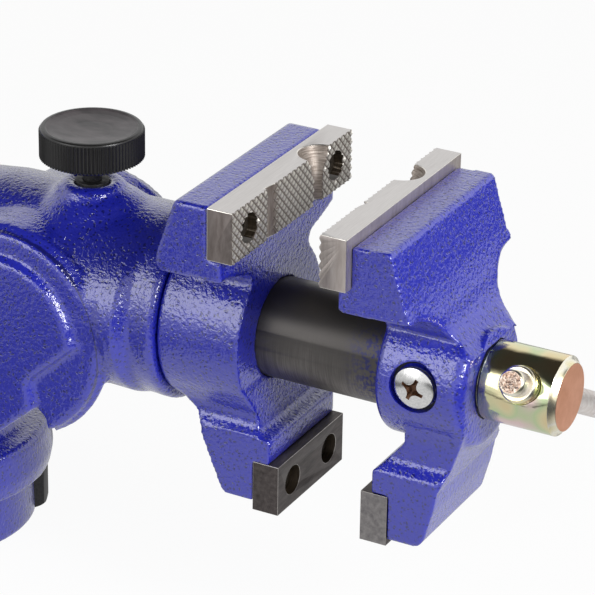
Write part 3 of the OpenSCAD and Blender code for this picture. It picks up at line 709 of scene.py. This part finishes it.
def trimBody(obj):
    knobX = placeOf("lock_knob")[2][0]
    for vert in obj.data.vertices:
        x, y, z = vert.co.x, vert.co.y, vert.co.z - axisHeight
        fromCheek = math.hypot(x - cheekX, vert.co.z - cheekZ)
        onCheek = fromCheek < cheek["radius"] + 0.6 * mm
        ahead = x > cheek["fadeX"][0] and z < cheek["below"]
        if onCheek and ahead and fromCheek > cheek["waist"] and abs(y) < cheek["widest"]:
            trimCheek(vert.co)
            continue
        reach = math.hypot(y, z)
        inWall = barrel["wall"][0] <= reach <= barrel["wall"][1]
        if not barrel["from"] < x < barrel["to"] or not inWall or onCheek and abs(y) > cheek["face"]:
            continue
        side = (y / reach) ** 2
        most = barrelRadius(x, side, z > 0)
        free = smoothStep(barrel["from"], barrel["from"] + barrel["fadeIn"], x)
        free *= 1 - smoothStep(barrel["to"] - barrel["fadeOut"], barrel["to"], x)
        if z > 0:
            free *= smoothStep(*barrel["knobClear"], math.hypot(x - knobX, y))
        if reach > most or x > barrel["fullFrom"] and side > barrel["fullSide"]:
            scale = 1 - free * (1 - most / reach)
            vert.co.y, vert.co.z = y * scale, z * scale + axisHeight


# The moving jaw's back from its top edge to the hub, as heights over the axis and places along X
jawBack = {
    "cast": ((83.5, 317.5), (55.5, 326), (49.5, 326), (30.5, 342), (18, 348)),
    "shown": (
        (83.5, 317.5),
        (70, 321.4),
        (55.5, 326),
        (46, 330),
        (38, 334.6),
        (31, 339.6),
        (25.5, 344.2),
        (21.3, 348),
    ),
    "deep": 9 * mm,
    "hubTopX": 0.3265,
    "cutHalf": 45 * mm,
    "cutEnd": 0.36,
}

# Far side of the moving jaw: a shorter block, a fuller waist and a round hub rim
jawFar = {
    "end": 2.7 * mm,
    "endY": (30 * mm, 56 * mm),
    "endZ": 40 * mm,
    "waist": 4.6 * mm,
    "waistY": (12 * mm, 24 * mm),
    "waistRise": (15 * mm, 34 * mm),
    "waistFall": (38 * mm, 55 * mm),
    "rim": 9 * mm,
    "rimX": (0.332, 0.352),
    "rimY": (-4 * mm, 12 * mm),
    "rimZ": (21 * mm, 34 * mm),
    "rimLow": -30 * mm,
    "rimInner": 24 * mm,
}


def alongProfile(points, height):
    for (z1, x1), (z0, x0) in zip(points, points[1:]):
        if z0 * mm <= height <= z1 * mm:
            return (x0 + (x1 - x0) * (height / mm - z0) / (z1 - z0)) * mm
    return None


def shapeJaw(obj):
    for vert in obj.data.vertices:
        x, y, z = vert.co.x, vert.co.y, vert.co.z - axisHeight
        cast, shown = (alongProfile(jawBack[key], z) for key in ("cast", "shown"))
        if cast and shown:
            inside = smoothStep(cast - jawBack["deep"], cast - 1 * mm, x)
            vert.co.x += inside * (shown - cast)
        if z > jawFar["endZ"] and y > jawFar["endY"][0]:
            vert.co.y -= jawFar["end"] * smoothStep(*jawFar["endY"], y)
        if y > jawFar["waistY"][0] and jawFar["waistRise"][0] < z < jawFar["waistFall"][1]:
            swell = smoothStep(*jawFar["waistRise"], z) * (1 - smoothStep(*jawFar["waistFall"], z))
            vert.co.y += jawFar["waist"] * swell * smoothStep(*jawFar["waistY"], y)
        reach = math.hypot(y, z)
        limit = hubRadius - jawFar["rim"] * smoothStep(*jawFar["rimX"], x) ** 1.5
        onRim = x > jawFar["rimX"][0] and z > jawFar["rimLow"] and reach > jawFar["rimInner"]
        if onRim and reach > limit:
            far = smoothStep(*jawFar["rimY"], y) * (1 - smoothStep(*jawFar["rimZ"], z))
            scale = 1 - far * (1 - limit / reach)
            vert.co.y, vert.co.z = vert.co.y * scale, z * scale + axisHeight


# Where each jaw casting is smoothed: rising and falling places along an axis
jawBlend = {
    "backX": (0.306, 0.316),
    "lowZ": (0.196, 0.206),
    "highZ": (0.234, 0.242),
    "endY": (50 * mm, 57 * mm),
}
headBlend = {"lowZ": (0.2, 0.21), "highZ": (0.222, 0.228), "frontX": (0.214, 0.222)}


def jawSoft(co):
    back = smoothStep(*jawBlend["backX"], co.x)
    middle = smoothStep(*jawBlend["lowZ"], co.z) * (1 - smoothStep(*jawBlend["highZ"], co.z))
    ends = 1 - smoothStep(*jawBlend["endY"], abs(co.y - 2 * mm))
    return back * middle * ends


def headSoft(co):
    middle = smoothStep(*headBlend["lowZ"], co.z) * (1 - smoothStep(*headBlend["highZ"], co.z))
    return middle * (1 - smoothStep(*headBlend["frontX"], co.x))


# Everything behind the jaw's back, so that the hub's top runs flush into the arm
def behindJaw():
    back = [(max(x * mm, jawBack["hubTopX"]), z * mm + axisHeight) for z, x in jawBack["shown"]]
    points = [(jawBack["cutEnd"], back[0][1]), *back, (jawBack["cutEnd"], back[-1][1])]
    count = len(points)
    verts = [(x, side * jawBack["cutHalf"], z) for side in (-1, 1) for x, z in points]
    faces = [tuple(range(count)), tuple(range(count, 2 * count))]
    faces += [(k, (k + 1) % count, count + (k + 1) % count, count + k) for k in range(count)]
    return [addObject("behind", meshOf("behind", verts, faces))]


# The moving jaw's seats are filled a little, then cut crisp after the casting is softened
jawSeats = {
    "screwGap": 13.3 * mm,
    "screwDepth": 6 * mm,
    "screwClear": 4 * mm,
    "spindleGap": 20.95 * mm,
    "spindleDepth": 1.0 * mm,
    "spindleClear": 5 * mm,
    "fillWide": 6 * mm,
    "fillDeep": 2.3 * mm,
}


def jawFill():
    inner, outer = jawSeats["spindleGap"] - 1 * mm, headRadius + jawSeats["fillWide"]
    low = -jawSeats["fillDeep"]
    outline = [(inner, low), (outer, low), (outer, 0), (inner, 0), (inner, low)]
    ring = lathe("fill", outline, 96, atX(placeOf("moving_jaw")[1][0]))
    modifier(ring, "WELD", merge_threshold=1e-6)
    return [bake(ring)]


def plugOutline(radius, low, high):
    return [(0, low), (radius, low), (radius, high), (0, high)]


def jawCutters():
    screws = placeOf("slide_bar_screws")[2]
    bottom, top = jawSeats["screwDepth"] - hubRadius, -jawSeats["screwClear"] - hubRadius
    screwPlug = plugOutline(jawSeats["screwGap"], bottom, top)
    cutters = []
    for side in (-1, 1):
        place = Matrix.Translation((screws[0], 0, screws[2])) @ Matrix.Rotation(side * math.pi / 2, 4, "X")
        cutters.append(lathe("seatCut", screwPlug, 96, place))
    spindlePlug = plugOutline(jawSeats["spindleGap"], -jawSeats["spindleDepth"], jawSeats["spindleClear"])
    cutters.append(lathe("seatCut", spindlePlug, 96, atX(placeOf("moving_jaw")[1][0])))
    # seat floors and the whole spindle seat take the near-black painted shadow; the screw seats' walls stay
    # painted blue
    for cutter in cutters:
        for look in ("seatShadowBlack", "paint"):
            cutter.data.materials.append(looks[look])
        for face in cutter.data.polygons:
            face.material_index = int(cutter != cutters[-1] and abs(face.normal.y) < 0.5)
    return cutters


castings = [
    {
        "name": "bodyCasting",
        "node": "vise_body",
        "body": "body",
        "voxel": 1.7 * mm,
        "smooth": 4,
        "shape": trimBody,
        "look": "partedPaint",
    },
    {
        "name": "headCasting",
        "node": "rotating_head",
        "body": "head",
        "voxel": 1.2 * mm,
        "soft": headSoft,
        "softRounds": 20,
    },
    {
        "name": "jawCasting",
        "node": "moving_jaw",
        "body": "jaw",
        "voxel": 1.0 * mm,
        "first": behindJaw,
        "fill": jawFill,
        "cutters": jawCutters,
        "shape": shapeJaw,
        "soft": jawSoft,
        "softRounds": 130,
    },
    {"name": "baseCasting", "node": "swivel_base", "body": "base", "voxel": 1.3 * mm, "most": 120000},
    {"name": "rearCap", "node": "rear_cap", "body": "body", "voxel": 1.2 * mm, "most": 40000},
]
castingUsual = {"smooth": 3, "most": 180000, "look": "paint"}


def casting(spec):
    obj = mergedCopy(spec["node"], spec["name"])
    if "first" in spec:
        cut(obj, spec["first"]())
        obj.data.materials.clear()
    if "fill" in spec:
        obj = join(spec["name"], [obj] + spec["fill"]())
    modifier(obj, "REMESH", mode="VOXEL", voxel_size=spec["voxel"], adaptivity=0.0)
    modifier(obj, "SMOOTH", factor=0.5, iterations=spec["smooth"])
    bake(obj)
    if "shape" in spec:
        spec["shape"](obj)
    if "soft" in spec:
        soften(obj, spec["soft"], spec["softRounds"])
    triangles = sum(len(face.vertices) - 2 for face in obj.data.polygons)
    if triangles > spec["most"]:
        modifier(obj, "DECIMATE", ratio=spec["most"] / triangles)
        bake(obj)
    obj.data.polygons.foreach_set("material_index", [0] * len(obj.data.polygons))
    obj.data.materials.append(looks[spec["look"]])
    if "cutters" in spec:
        cut(obj, spec["cutters"]())
    shadeByAngle(obj, 50)
    return finishPiece(obj, spec["body"], spec["node"])


# Machined pieces: the CAD solid with small broken edges

nutShape = {"bevel": 1.2, "grow": 1.12, "drop": 3 * mm}
machinedPieces = [
    ("pivotBolt", "base", "black_oxide", "blackOxide", {}),
    ("pivotWasher", "base", "bright_zinc", "zinc", {}),
    ("pivotNut", "base", "black_oxide", "blackOxide", {}),
    ("lockBolts", "base", "black_oxide", "blackOxide", {}),
    ("lockNutLeft", "nut_left", "black_oxide", "blackOxide", nutShape),
    ("lockNutRight", "nut_right", "black_oxide", "blackOxide", nutShape),
    ("rearCapScrews", "body", "bright_zinc", "zinc", {}),
    ("lockBush", "body", "black_oxide", "blackOxide", {}),
    ("lockPin", "lock", "black_oxide", "blackOxide", {}),
    ("retainingCollar", "head", "black_oxide", "blackOxide", {"dissolve": False}),
    ("collarScrews", "head", "bright_zinc", "zinc", {}),
    ("spindleNut", "head", "nut_brass", "lowPlateEnd", {}),
    ("nutBolt", "head", "bright_zinc", "zinc", {}),
    ("slideKey", "head", "ground_steel", "zinc", {}),
    ("rearUpperScrews", "head", "black_oxide", "holeDark", {}),
    ("rearLowerScrews", "head", "black_oxide", "holeDark", {}),
    ("frontUpperScrews", "jaw", "black_oxide", "holeDark", {}),
    ("frontLowerScrews", "jaw", "black_oxide", "holeDark", {}),
    ("slideBar", "jaw", "dark_tube", "tube", {"bevel": 0.6}),
    ("thrustWasher", "jaw", "bright_zinc", "zinc", {"bevel": 0.2}),
    ("spindleCollar", "spindle", "black_oxide", "blackOxide", {}),
    ("collarPin", "spindle", "ground_steel", "zinc", {"bevel": 0.2}),
    ("handleFarEnd", "handle", "yellow_zinc", "goldBright", {"dissolve": False}),
]


# The CAD node that a piece is named after: lockPin dresses lock_pin
def nodeOf(name):
    return "".join("_" + letter.lower() if letter.isupper() else letter for letter in name)


# Wider across and deeper below, about the piece's own middle
def enlarge(obj, middle, grow, drop):
    for vert in obj.data.vertices:
        for axis in (0, 1):
            vert.co[axis] = middle[axis] + (vert.co[axis] - middle[axis]) * grow
        if vert.co.z < middle[2]:
            vert.co.z -= drop


for name, body, slotName, look, shape in machinedPieces:
    piece = mergedCopy(nodeOf(name), name, shape.get("dissolve", True))
    if "grow" in shape:
        enlarge(piece, placeOf(nodeOf(name))[2], shape["grow"], shape["drop"])
    breakEdges(piece, shape.get("bevel", 0.3) * mm)
    shadeByAngle(piece, 34)
    finishPiece(piece, body, nodeOf(name), look)


# A CAD solid whose faces get their finish from where they are
def finishedByFace(name, node, names, pick, bevel, edgeLook=None):
    obj = mergedCopy(node, name)
    for look in names:
        obj.data.materials.append(looks[look])
    for face in obj.data.polygons:
        face.material_index = names.index(pick(face.center, face.normal))
    return breakEdges(obj, bevel, lookIndex=names.index(edgeLook) if edgeLook else -1)


# Jaw plates

knurl = {"pitch": 3.45 * mm, "depth": 1.15 * mm, "tip": 0.1, "slab": 4 * mm}
upperPlate = {
    "looks": ["plateSide", "plateSideDark", "plateTop", "plateGroove", "plateRamp", "bore", "brightEdge"],
    "bevel": 0.35 * mm,
    "holePitch": 92 * mm,
    "grooveY": 0.21 * plateLength,
    "grooveReach": 11.5 * mm,
}
lowerPlate = {
    "looks": ["lowPlate", "lowPlateEnd", "bore", "lowEdge"],
    "bevel": 0.3 * mm,
    "holePitch": 40 * mm,
}
boreReach = 8.1 * mm
knurlSizes = {
    "Width": (plateLength + plateHeight) * 0.75,
    "Pitch": knurl["pitch"],
    "Depth": knurl["depth"],
    "Slab": knurl["slab"],
    "Tip": knurl["tip"],
}


def inBore(centre, pitch, height):
    return any(math.hypot(centre.y - side * pitch / 2, centre.z - height) < boreReach for side in (-1, 1))


# Slab with a field of pyramid dents in its underside; it cuts the serrations
def knurlCutterTree():
    tree, source, target = shapeTree("knurlCutter", knurlSizes, looks["knurl"])
    cells = mathOn(tree, "CEIL", mathOn(tree, "DIVIDE", source.outputs["Width"], source.outputs["Pitch"]))
    side = mathOn(tree, "MULTIPLY", cells, source.outputs["Pitch"])
    points = mathOn(tree, "ADD", cells, 1.0)
    size = vectorOn(tree, X=side, Y=side, Z=source.outputs["Slab"])
    slab = wire(tree, "GeometryNodeMeshCube", {"Size": size, "Vertices X": points, "Vertices Y": points})
    facing = axesOf(tree, wire(tree, "GeometryNodeInputNormal").outputs["Normal"])
    under = wire(tree, "FunctionNodeCompare", {"A": facing["Z"], "B": -0.5}, operation="LESS_THAN")
    dents = {
        "Mesh": slab.outputs["Mesh"],
        "Selection": under.outputs["Result"],
        "Offset Scale": mathOn(tree, "MULTIPLY", source.outputs["Depth"], -1.0),
    }
    dent = wire(tree, "GeometryNodeExtrudeMesh", dents, mode="FACES")
    tips = {
        "Geometry": dent.outputs["Mesh"],
        "Selection": dent.outputs["Top"],
        "Scale": source.outputs["Tip"],
    }
    narrowed = wire(tree, "GeometryNodeScaleElements", tips, domain="FACE")
    tree.links.new(narrowed.outputs["Geometry"], target)
    return tree


# The grip face looks along +X where side is 1
def upperPlatePiece(name, body, side, face, endLook):
    def pick(centre, normal):
        if normal.z > 0.9:
            return "plateTop"
        if inBore(centre, upperPlate["holePitch"], plateMiddle[2]):
            return "bore"
        fromGroove = math.hypot(centre.x - face, centre.y - upperPlate["grooveY"])
        if fromGroove < upperPlate["grooveReach"] and abs(normal.y) < 0.98 and abs(normal.x) < 0.999:
            return "plateGroove"
        if abs(normal.y) > 0.9:
            return endLook
        return "plateRamp" if abs(normal.y) > 0.04 else "plateSide"

    obj = finishedByFace(name, nodeOf(name), upperPlate["looks"], pick, upperPlate["bevel"], "brightEdge")
    out = face + side * (knurl["slab"] / 2 - knurl["depth"])
    place = Matrix.Translation((out, 0, plateMiddle[2])) @ Matrix.Rotation(side * math.pi / 2, 4, "Y")
    diagonal = Matrix.Rotation(math.pi / 4, 4, "Z")
    cut(obj, [fromTree("cutter", knurlTree, knurlSizes, place @ diagonal)])
    shadeByAngle(obj, 25)
    return finishPiece(obj, body, nodeOf(name))


knurlTree = knurlCutterTree()
# the fixed plate's ends take the painted-shade copy of the side finish
upperPlatePiece("rearUpperPlate", "head", 1, gripX, "plateSideDark")
upperPlatePiece("frontUpperPlate", "jaw", -1, gripX + opening, "plateSide")


def lowerPlatePiece(name, body, endLook):
    middle = placeOf(nodeOf(name))[2]

    def pick(centre, normal):
        if inBore(centre, lowerPlate["holePitch"], middle[2]):
            return "bore"
        return endLook if abs(normal.y) > 0.9 else "lowPlate"

    obj = finishedByFace(name, nodeOf(name), lowerPlate["looks"], pick, lowerPlate["bevel"], "lowEdge")
    shadeByAngle(obj, 25)
    return finishPiece(obj, body, nodeOf(name))


lowerPlatePiece("rearLowerPlate", "head", "lowPlate")
lowerPlatePiece("frontLowerPlate", "jaw", "lowPlateEnd")


# Spindle: bright chamfer, copper-toned end, plain screw
spindleShape = {
    "looks": ["gold", "goldBright", "copperFace", "zinc"],
    "bevel": 0.35 * mm,
    "endDeep": 0.3 * mm,
    "chamferDeep": 5.4 * mm,
    "screwReach": 10.5 * mm,
    "screwEnd": 0.34,
    "rimDeep": 5.9 * mm,
    "rimShift": 2 * mm,  # makes the chamfer as narrow as the real one
}


def spindlePick(centre, normal):
    reach = math.hypot(centre.y, centre.z - axisHeight)
    if centre.x > headEnd - spindleShape["endDeep"] and normal.x > 0.95:
        return "copperFace"
    if centre.x > headEnd - spindleShape["chamferDeep"] and 0.3 < normal.x < 0.95:
        return "goldBright"
    if reach < spindleShape["screwReach"] and centre.x < spindleShape["screwEnd"]:
        return "zinc"
    return "gold"


spindle = finishedByFace("spindlePiece", "spindle", spindleShape["looks"], spindlePick, spindleShape["bevel"])
for vert in spindle.data.vertices:
    onRim = math.hypot(vert.co.y, vert.co.z - axisHeight) > headRadius - 0.3 * mm
    if onRim and vert.co.x > headEnd - spindleShape["rimDeep"]:
        vert.co.x += spindleShape["rimShift"]
shadeByAngle(spindle, 30)
finishPiece(spindle, "spindle", "spindle")


# Handle: the rod with its hammered near end, and the ring pressed on it; heights run along the rod
handle = {
    "radius": 6.8 * mm,
    "near": -headRadius - 13.6 * mm,
    "far": 0.215 - headRadius - 12.6 * mm,
    "faceRadius": 5.6 * mm,
    "crown": 0.25 * mm,
    "dent": 0.35 * mm,
    "edge": 1.9 * mm,
}
handleRing = {"out": 4.6 * mm, "sink": 2.6 * mm, "radius": 9.5 * mm, "gap": 0.02 * mm}


def pocked(point):
    cell = noise.cell_vector(point * 900)
    fine = noise.noise(point * 1100) + 0.6 * noise.noise(point * 2300) + 0.25 * (cell.x - 0.5)
    return handle["dent"] * fine


def handleRod():
    near, far, r, flat = (handle[key] for key in ("near", "far", "radius", "faceRadius"))
    points = [(0, near)]
    points += [(flat * k / 18, near) for k in range(1, 19)]
    points += [(flat + 0.25 * mm, near + 0.1 * mm), (r - 0.1 * mm, near + 1.5 * mm)]
    points += [(r, near + handle["edge"])]
    points += [(r, near + (far - near) * k / 24) for k in range(1, 24)]
    points += [(r, far), (0, far)]
    obj = lathe("handleRod", points, 72)
    for vert in obj.data.vertices:
        reach = math.hypot(vert.co.x, vert.co.y)
        if vert.co.z < near + 0.05 * mm and reach < flat * 0.99:
            vert.co.z += pocked(vert.co) + handle["crown"] * (1 - (reach / flat) ** 2)
    for look in ("rodSteel", "pittedEnd", "goldBright"):
        obj.data.materials.append(looks[look])
    for face in obj.data.polygons:
        reach = math.hypot(face.center.x, face.center.y)
        if face.center.z < near + handle["edge"] - 0.1 * mm:
            face.material_index = 1 if reach < flat else 2
    obj.data.transform(rodPlace)
    shadeByAngle(obj, 40)
    return finishPiece(obj, "handle", "handle_rod")


def nearRing():
    r, inner = handleRing["radius"], handle["radius"] + handleRing["gap"]
    front, back = -headRadius - handleRing["out"], -headRadius + handleRing["sink"]
    points = [
        (inner, front, 0),
        (r - 0.9 * mm, front, 0.6 * mm),
        (r, front + 1.2 * mm, 0.9 * mm),
        (r, back, 0.3 * mm),
        (inner, back, 0),
    ]
    outline = roundedOutline(points)
    obj = lathe("handleNearEnd", outline + [outline[0]], 96, rodPlace)
    modifier(obj, "WELD", merge_threshold=1e-6)
    bake(obj)
    shadeByAngle(obj, 30)
    return finishPiece(obj, "handle", "handle_near_end", "goldBright")


handleRod()
nearRing()


# Pan screws with a cross recess, one each side of the moving jaw
panScrew = {
    "crown": 24 * mm,
    "radius": 10.9 * mm,
    "proud": 1.1 * mm,
    "dip": 0.2 * mm,
    "sink": 6.4 * mm,
    "shank": 4.25 * mm,
    "shankEnd": -21.5 * mm,
    "arm": 6.3 * mm,
    "armHalf": 1.0 * mm,
    "cornerFillet": 3.5 * mm,
    "recess": ((-1.5 * mm, 1.06), (0.6 * mm, 1.0), (3.2 * mm, 0.5)),  # depth and width of the cross
    "turned": 24,
}


# Outline of the cross: four arms with hollow corners between them
def crossOutline():
    half, reach, fillet = panScrew["armHalf"], panScrew["arm"], panScrew["cornerFillet"]
    quarter = [Vector((reach, -half)), Vector((reach, half))]
    centre = Vector((half + fillet, half + fillet))
    for k in range(7):
        a = math.radians(270 - 90 * k / 6)
        quarter.append(centre + fillet * Vector((math.cos(a), math.sin(a))))
    turns = [Matrix.Rotation(turn * math.pi / 2, 2) for turn in range(4)]
    return [spin @ point for spin in turns for point in quarter]


def crossCutter():
    outline = crossOutline()
    count = len(outline)
    verts = [(p.x * grow, p.y * grow, z) for z, grow in panScrew["recess"] for p in outline]
    faces = [tuple(range(count)), tuple(range(2 * count, 3 * count))]
    for level in (0, count):
        for k in range(count):
            n = (k + 1) % count
            faces.append((level + k, level + n, level + count + n, level + count + k))
    cross = addObject("cross", meshOf("cross", verts, faces))
    cross.data.transform(Matrix.Rotation(math.radians(panScrew["turned"]), 4, "Z"))
    cross.data.materials.append(looks["recessBrown"])
    return cross


# One screw with the top of its head at the origin, its shank along +Y
def screwShape():
    r, crown, dip, shank = (panScrew[key] for key in ("radius", "crown", "dip", "shank"))
    dome = [r * k / 12 for k in range(1, 13)]
    points = [(0, -dip)]
    points += [(reach, crown - dip - math.sqrt(crown**2 - reach * reach)) for reach in dome]
    underHead = panScrew["sink"] - 0.25 * mm
    shankEnd = panScrew["shankEnd"] + hubRadius + panScrew["proud"]
    points += [(r, underHead - 1 * mm), (r - 0.5 * mm, underHead)]
    points += [(shank, underHead), (shank, shankEnd), (0, shankEnd)]
    head = lathe("screwShape", points, 96)
    head.data.materials.append(looks["zinc"])
    cut(head, [crossCutter()])
    breakEdges(head, 0.18 * mm, 50)
    head.data.transform(Matrix.Rotation(-math.pi / 2, 4, "X"))
    return head


def panScrewTree(shape):
    tree, source, target = shapeTree("panScrews", {"Reach": 0.03, "Count": 2}, looks["zinc"], looks["zinc"])
    profile = wire(tree, "GeometryNodeObjectInfo", {"Object": shape})
    first = vectorOn(tree, Y=mathOn(tree, "MULTIPLY", source.outputs["Reach"], -1.0))
    stride = vectorOn(tree, Y=mathOn(tree, "MULTIPLY", source.outputs["Reach"], 2.0))
    line = {"Count": source.outputs["Count"], "Start Location": first, "Offset": stride}
    spots = wire(tree, "GeometryNodeMeshLine", line)
    return turnedCopies(tree, source, target, spots.outputs["Mesh"], profile.outputs["Geometry"])


def panScrews():
    middle = placeOf("slide_bar_screws")[2]
    shape = screwShape()
    sizes = {"Reach": hubRadius + panScrew["proud"], "Count": 2}
    place = Matrix.Translation((middle[0], 0, middle[2]))
    obj = fromTree("slideBarScrews", panScrewTree(shape), sizes, place)
    bpy.data.objects.remove(shape)
    shadeByAngle(obj, 35)
    return finishPiece(obj, "jaw", "slide_bar_screws")


panScrews()

for spec in castings:
    casting(castingUsual | spec)


# Lock knob: a dished black disc with ribs all round
knob = {
    "radius": 27.7 * mm,
    "thick": 18.4 * mm,
    "ribs": 88,
    "ribDepth": 0.8 * mm,
    "ribLow": 1.9 * mm,
    "ribShort": 3.6 * mm,
    "stem": 11 * mm,
    "dish": 2.2 * mm,
    "lip": 3.4 * mm,
}


def ribTree():
    sizes = {"Count": knob["ribs"], "Radius": 0.02, "Height": 0.01, "Rib": 0.001}
    tree, source, target = shapeTree("knobRibs", sizes, looks["knobBlack"])
    circle = {"Vertices": source.outputs["Count"], "Radius": source.outputs["Radius"]}
    ring = wire(tree, "GeometryNodeMeshCircle", circle)
    bar = {"Vertices": 4, "Radius": source.outputs["Rib"], "Depth": source.outputs["Height"]}
    rib = wire(tree, "GeometryNodeMeshCylinder", bar)
    return turnedCopies(tree, source, target, ring.outputs["Mesh"], rib.outputs["Mesh"])


def knobBody(centreX, low, top):
    r, dish, stem = knob["radius"], knob["dish"], knob["stem"]
    bottom = top - knob["thick"]
    core = r - knob["ribDepth"] * 0.8
    points = [
        (0, low, 0),
        (stem, low, 1 * mm),
        (stem, bottom - 1 * mm, 1 * mm),
        (r - 6 * mm, bottom - 1 * mm, 3 * mm),
        (core, bottom + 2.4 * mm, 1.5 * mm),
        (core, top - 0.2 * mm, 1.6 * mm),
        (r - 3.2 * mm, top, 0.8 * mm),
        (r - 4.2 * mm, top - 0.7 * mm, 1 * mm),
        (r * 0.72, top - dish * 0.62, 4 * mm),
        (r * 0.4, top - dish, 5 * mm),
        (0, top - dish - 0.3 * mm, 0),
    ]
    body = lathe("knobBody", roundedOutline(points, 6), 96, Matrix.Translation((centreX, 0, 0)))
    for look in ("knobBlack", "knobDish"):
        body.data.materials.append(looks[look])
    for face in body.data.polygons:
        reach = math.hypot(face.center.x - centreX, face.center.y)
        # the dish takes the lighter tone: smears and painted sheen
        face.material_index = int(face.center.z > top - 4 * mm and reach < r - knob["lip"])
    return body


def lockKnob():
    low, high, middle = placeOf("lock_knob")
    height = knob["thick"] - knob["ribShort"]
    sizes = {
        "Count": knob["ribs"],
        "Radius": knob["radius"] - knob["ribDepth"],
        "Height": height,
        "Rib": knob["ribDepth"],
    }
    place = Matrix.Translation((middle[0], 0, high[2] - knob["thick"] + knob["ribLow"] + height / 2))
    ribs = fromTree("knobRibs", ribTree(), sizes, place)
    obj = join("lockKnob", [knobBody(middle[0], low[2], high[2]), ribs])
    shadeByAngle(obj, 32)
    return finishPiece(obj, "knob", "lock_knob")


lockKnob()


# Floor, light and camera

studio = {
    "ceiling": 0.04,  # how bright the ceiling looks in reflections
    "fade": (0.56, 0.76),
    "fill": 0.42,
    "floorColor": (0.9, 0.9, 0.9),
    "floorReach": 6,
    "floorSeen": 0.95,
    "floorLeft": 0.14,  # how bright the floor looks in reflections, left and right of the vise
    "floorRight": 0.7,
    "floorSide": 0.5,
    "floorFar": 0.06,
    "leftEdge": (0.02, 0.05),
    "farEdge": (0.4, 0.7),
    "sideEdge": (-0.17, -0.09),
    "lamps": {  # place, size and watts
        "rightKey": ((1.62, -0.35, 1.02), (0.4, 1.1), 24),
        "leftFront": ((-0.49, -1.44, 0.9), (1.2, 1.0), 7.5),
    },
    "aim": (0.15, 0, 0.17),
}


def seenBy(tree, *rays):
    path = tree.nodes.new("ShaderNodeLightPath")
    result = path.outputs[rays[0]]
    for ray in rays[1:]:
        result = mathOn(tree, "MAXIMUM", result, path.outputs[ray])
    return result


def whiteFloor():
    mat = bpy.data.materials.new("floorWhite")
    mat.use_nodes = True
    tree = mat.node_tree
    shader = tree.nodes["Principled BSDF"]
    shader.inputs["Base Color"].default_value = (*studio["floorColor"], 1)
    shader.inputs["Roughness"].default_value = 0.9
    shader.inputs["Specular IOR Level"].default_value = 0.0
    at = axesOf(tree, wire(tree, "ShaderNodeTexCoord").outputs["Object"])
    mirrored = seenBy(tree, "Is Glossy Ray", "Is Transmission Ray")
    direct = seenBy(tree, "Is Camera Ray")
    left, right = studio["floorLeft"], studio["floorRight"]
    near = stepOn(tree, at["X"], *studio["leftEdge"], left, right)
    far = stepOn(tree, at["X"], *studio["farEdge"], 0.0, right - studio["floorFar"])
    side = stepOn(tree, at["X"], *studio["sideEdge"], studio["floorSide"], 0.0)
    falloff = mathOn(tree, "ADD", mathOn(tree, "SUBTRACT", near, far), side)
    strength = mathOn(tree, "ADD", direct, mathOn(tree, "MULTIPLY", mirrored, falloff))
    glow = wire(tree, "ShaderNodeEmission", {"Color": (1, 1, 1, 1), "Strength": strength})
    share = mathOn(tree, "MAXIMUM", mathOn(tree, "MULTIPLY", direct, studio["floorSeen"]), mirrored)
    surfaces = {0: share, 1: shader.outputs["BSDF"], 2: glow.outputs["Emission"]}
    mix = wire(tree, "ShaderNodeMixShader", surfaces)
    tree.links.new(mix.outputs["Shader"], tree.nodes["Material Output"].inputs["Surface"])
    return mat


half = studio["floorReach"]
corners = [(-half, -half, 0), (half, -half, 0), (half, half, 0), (-half, half, 0)]
floorMesh = meshOf("floor", corners, [(0, 1, 2, 3)])
floorMesh.materials.append(whiteFloor())
floor = addObject("floor", floorMesh)
floor.location.z = -0.2 * mm


# White where it is seen; a bright horizon under a dim ceiling in reflections and light
def studioWorld():
    world = bpy.data.worlds.new("studio")
    bpy.context.scene.world = world
    world.use_nodes = True
    sky = world.node_tree
    at = axesOf(sky, wire(sky, "ShaderNodeTexCoord").outputs["Generated"])
    fade = stepOn(sky, at["Z"], *studio["fade"], 1.0, studio["ceiling"])
    direct = seenBy(sky, "Is Camera Ray")
    mirrored = seenBy(sky, "Is Glossy Ray", "Is Transmission Ray")
    lit = mathOn(sky, "MULTIPLY_ADD", mirrored, 1 - studio["fill"], studio["fill"])
    strength = mathOn(sky, "MAXIMUM", direct, mathOn(sky, "MULTIPLY", fade, lit))
    background = sky.nodes["Background"]
    background.inputs["Color"].default_value = (1, 1, 1, 1)
    sky.links.new(strength, background.inputs["Strength"])


def softLamp(name, spot, size, watts):
    data = bpy.data.lights.new(name, "AREA")
    data.shape = "RECTANGLE"
    data.size, data.size_y = size
    data.energy = watts
    lamp = addObject(name, data)
    lamp.location = spot
    lamp.rotation_mode = "QUATERNION"
    lamp.rotation_quaternion = (Vector(studio["aim"]) - Vector(spot)).to_track_quat("-Z", "Y")


lens = {
    "azimuth": 27.88,
    "elevation": 25.15,
    "roll": -0.95,
    "spot": (0.9424, -1.3341, 0.8951),
    "focal": 196.71,
}


def placeCamera():
    az, el, roll = (math.radians(lens[key]) for key in ("azimuth", "elevation", "roll"))
    forward = Vector((-math.sin(az) * math.cos(el), math.cos(az) * math.cos(el), -math.sin(el)))
    right = Vector((math.cos(az), math.sin(az), 0))
    up = right.cross(forward)
    rolledRight = right * math.cos(roll) - up * math.sin(roll)
    rolledUp = right * math.sin(roll) + up * math.cos(roll)
    data = bpy.data.cameras.new("camera")
    data.lens = lens["focal"]
    data.sensor_width = 36
    camera = addObject("camera", data)
    turn = Matrix((rolledRight, rolledUp, -forward)).transposed()
    camera.matrix_world = Matrix.Translation(lens["spot"]) @ turn.to_4x4()
    bpy.context.scene.camera = camera


studioWorld()
for name, (spot, size, watts) in studio["lamps"].items():
    softLamp(name, spot, size, watts)
placeCamera()
bpy.context.scene.view_settings.view_transform = "Standard"

print("scene ready")
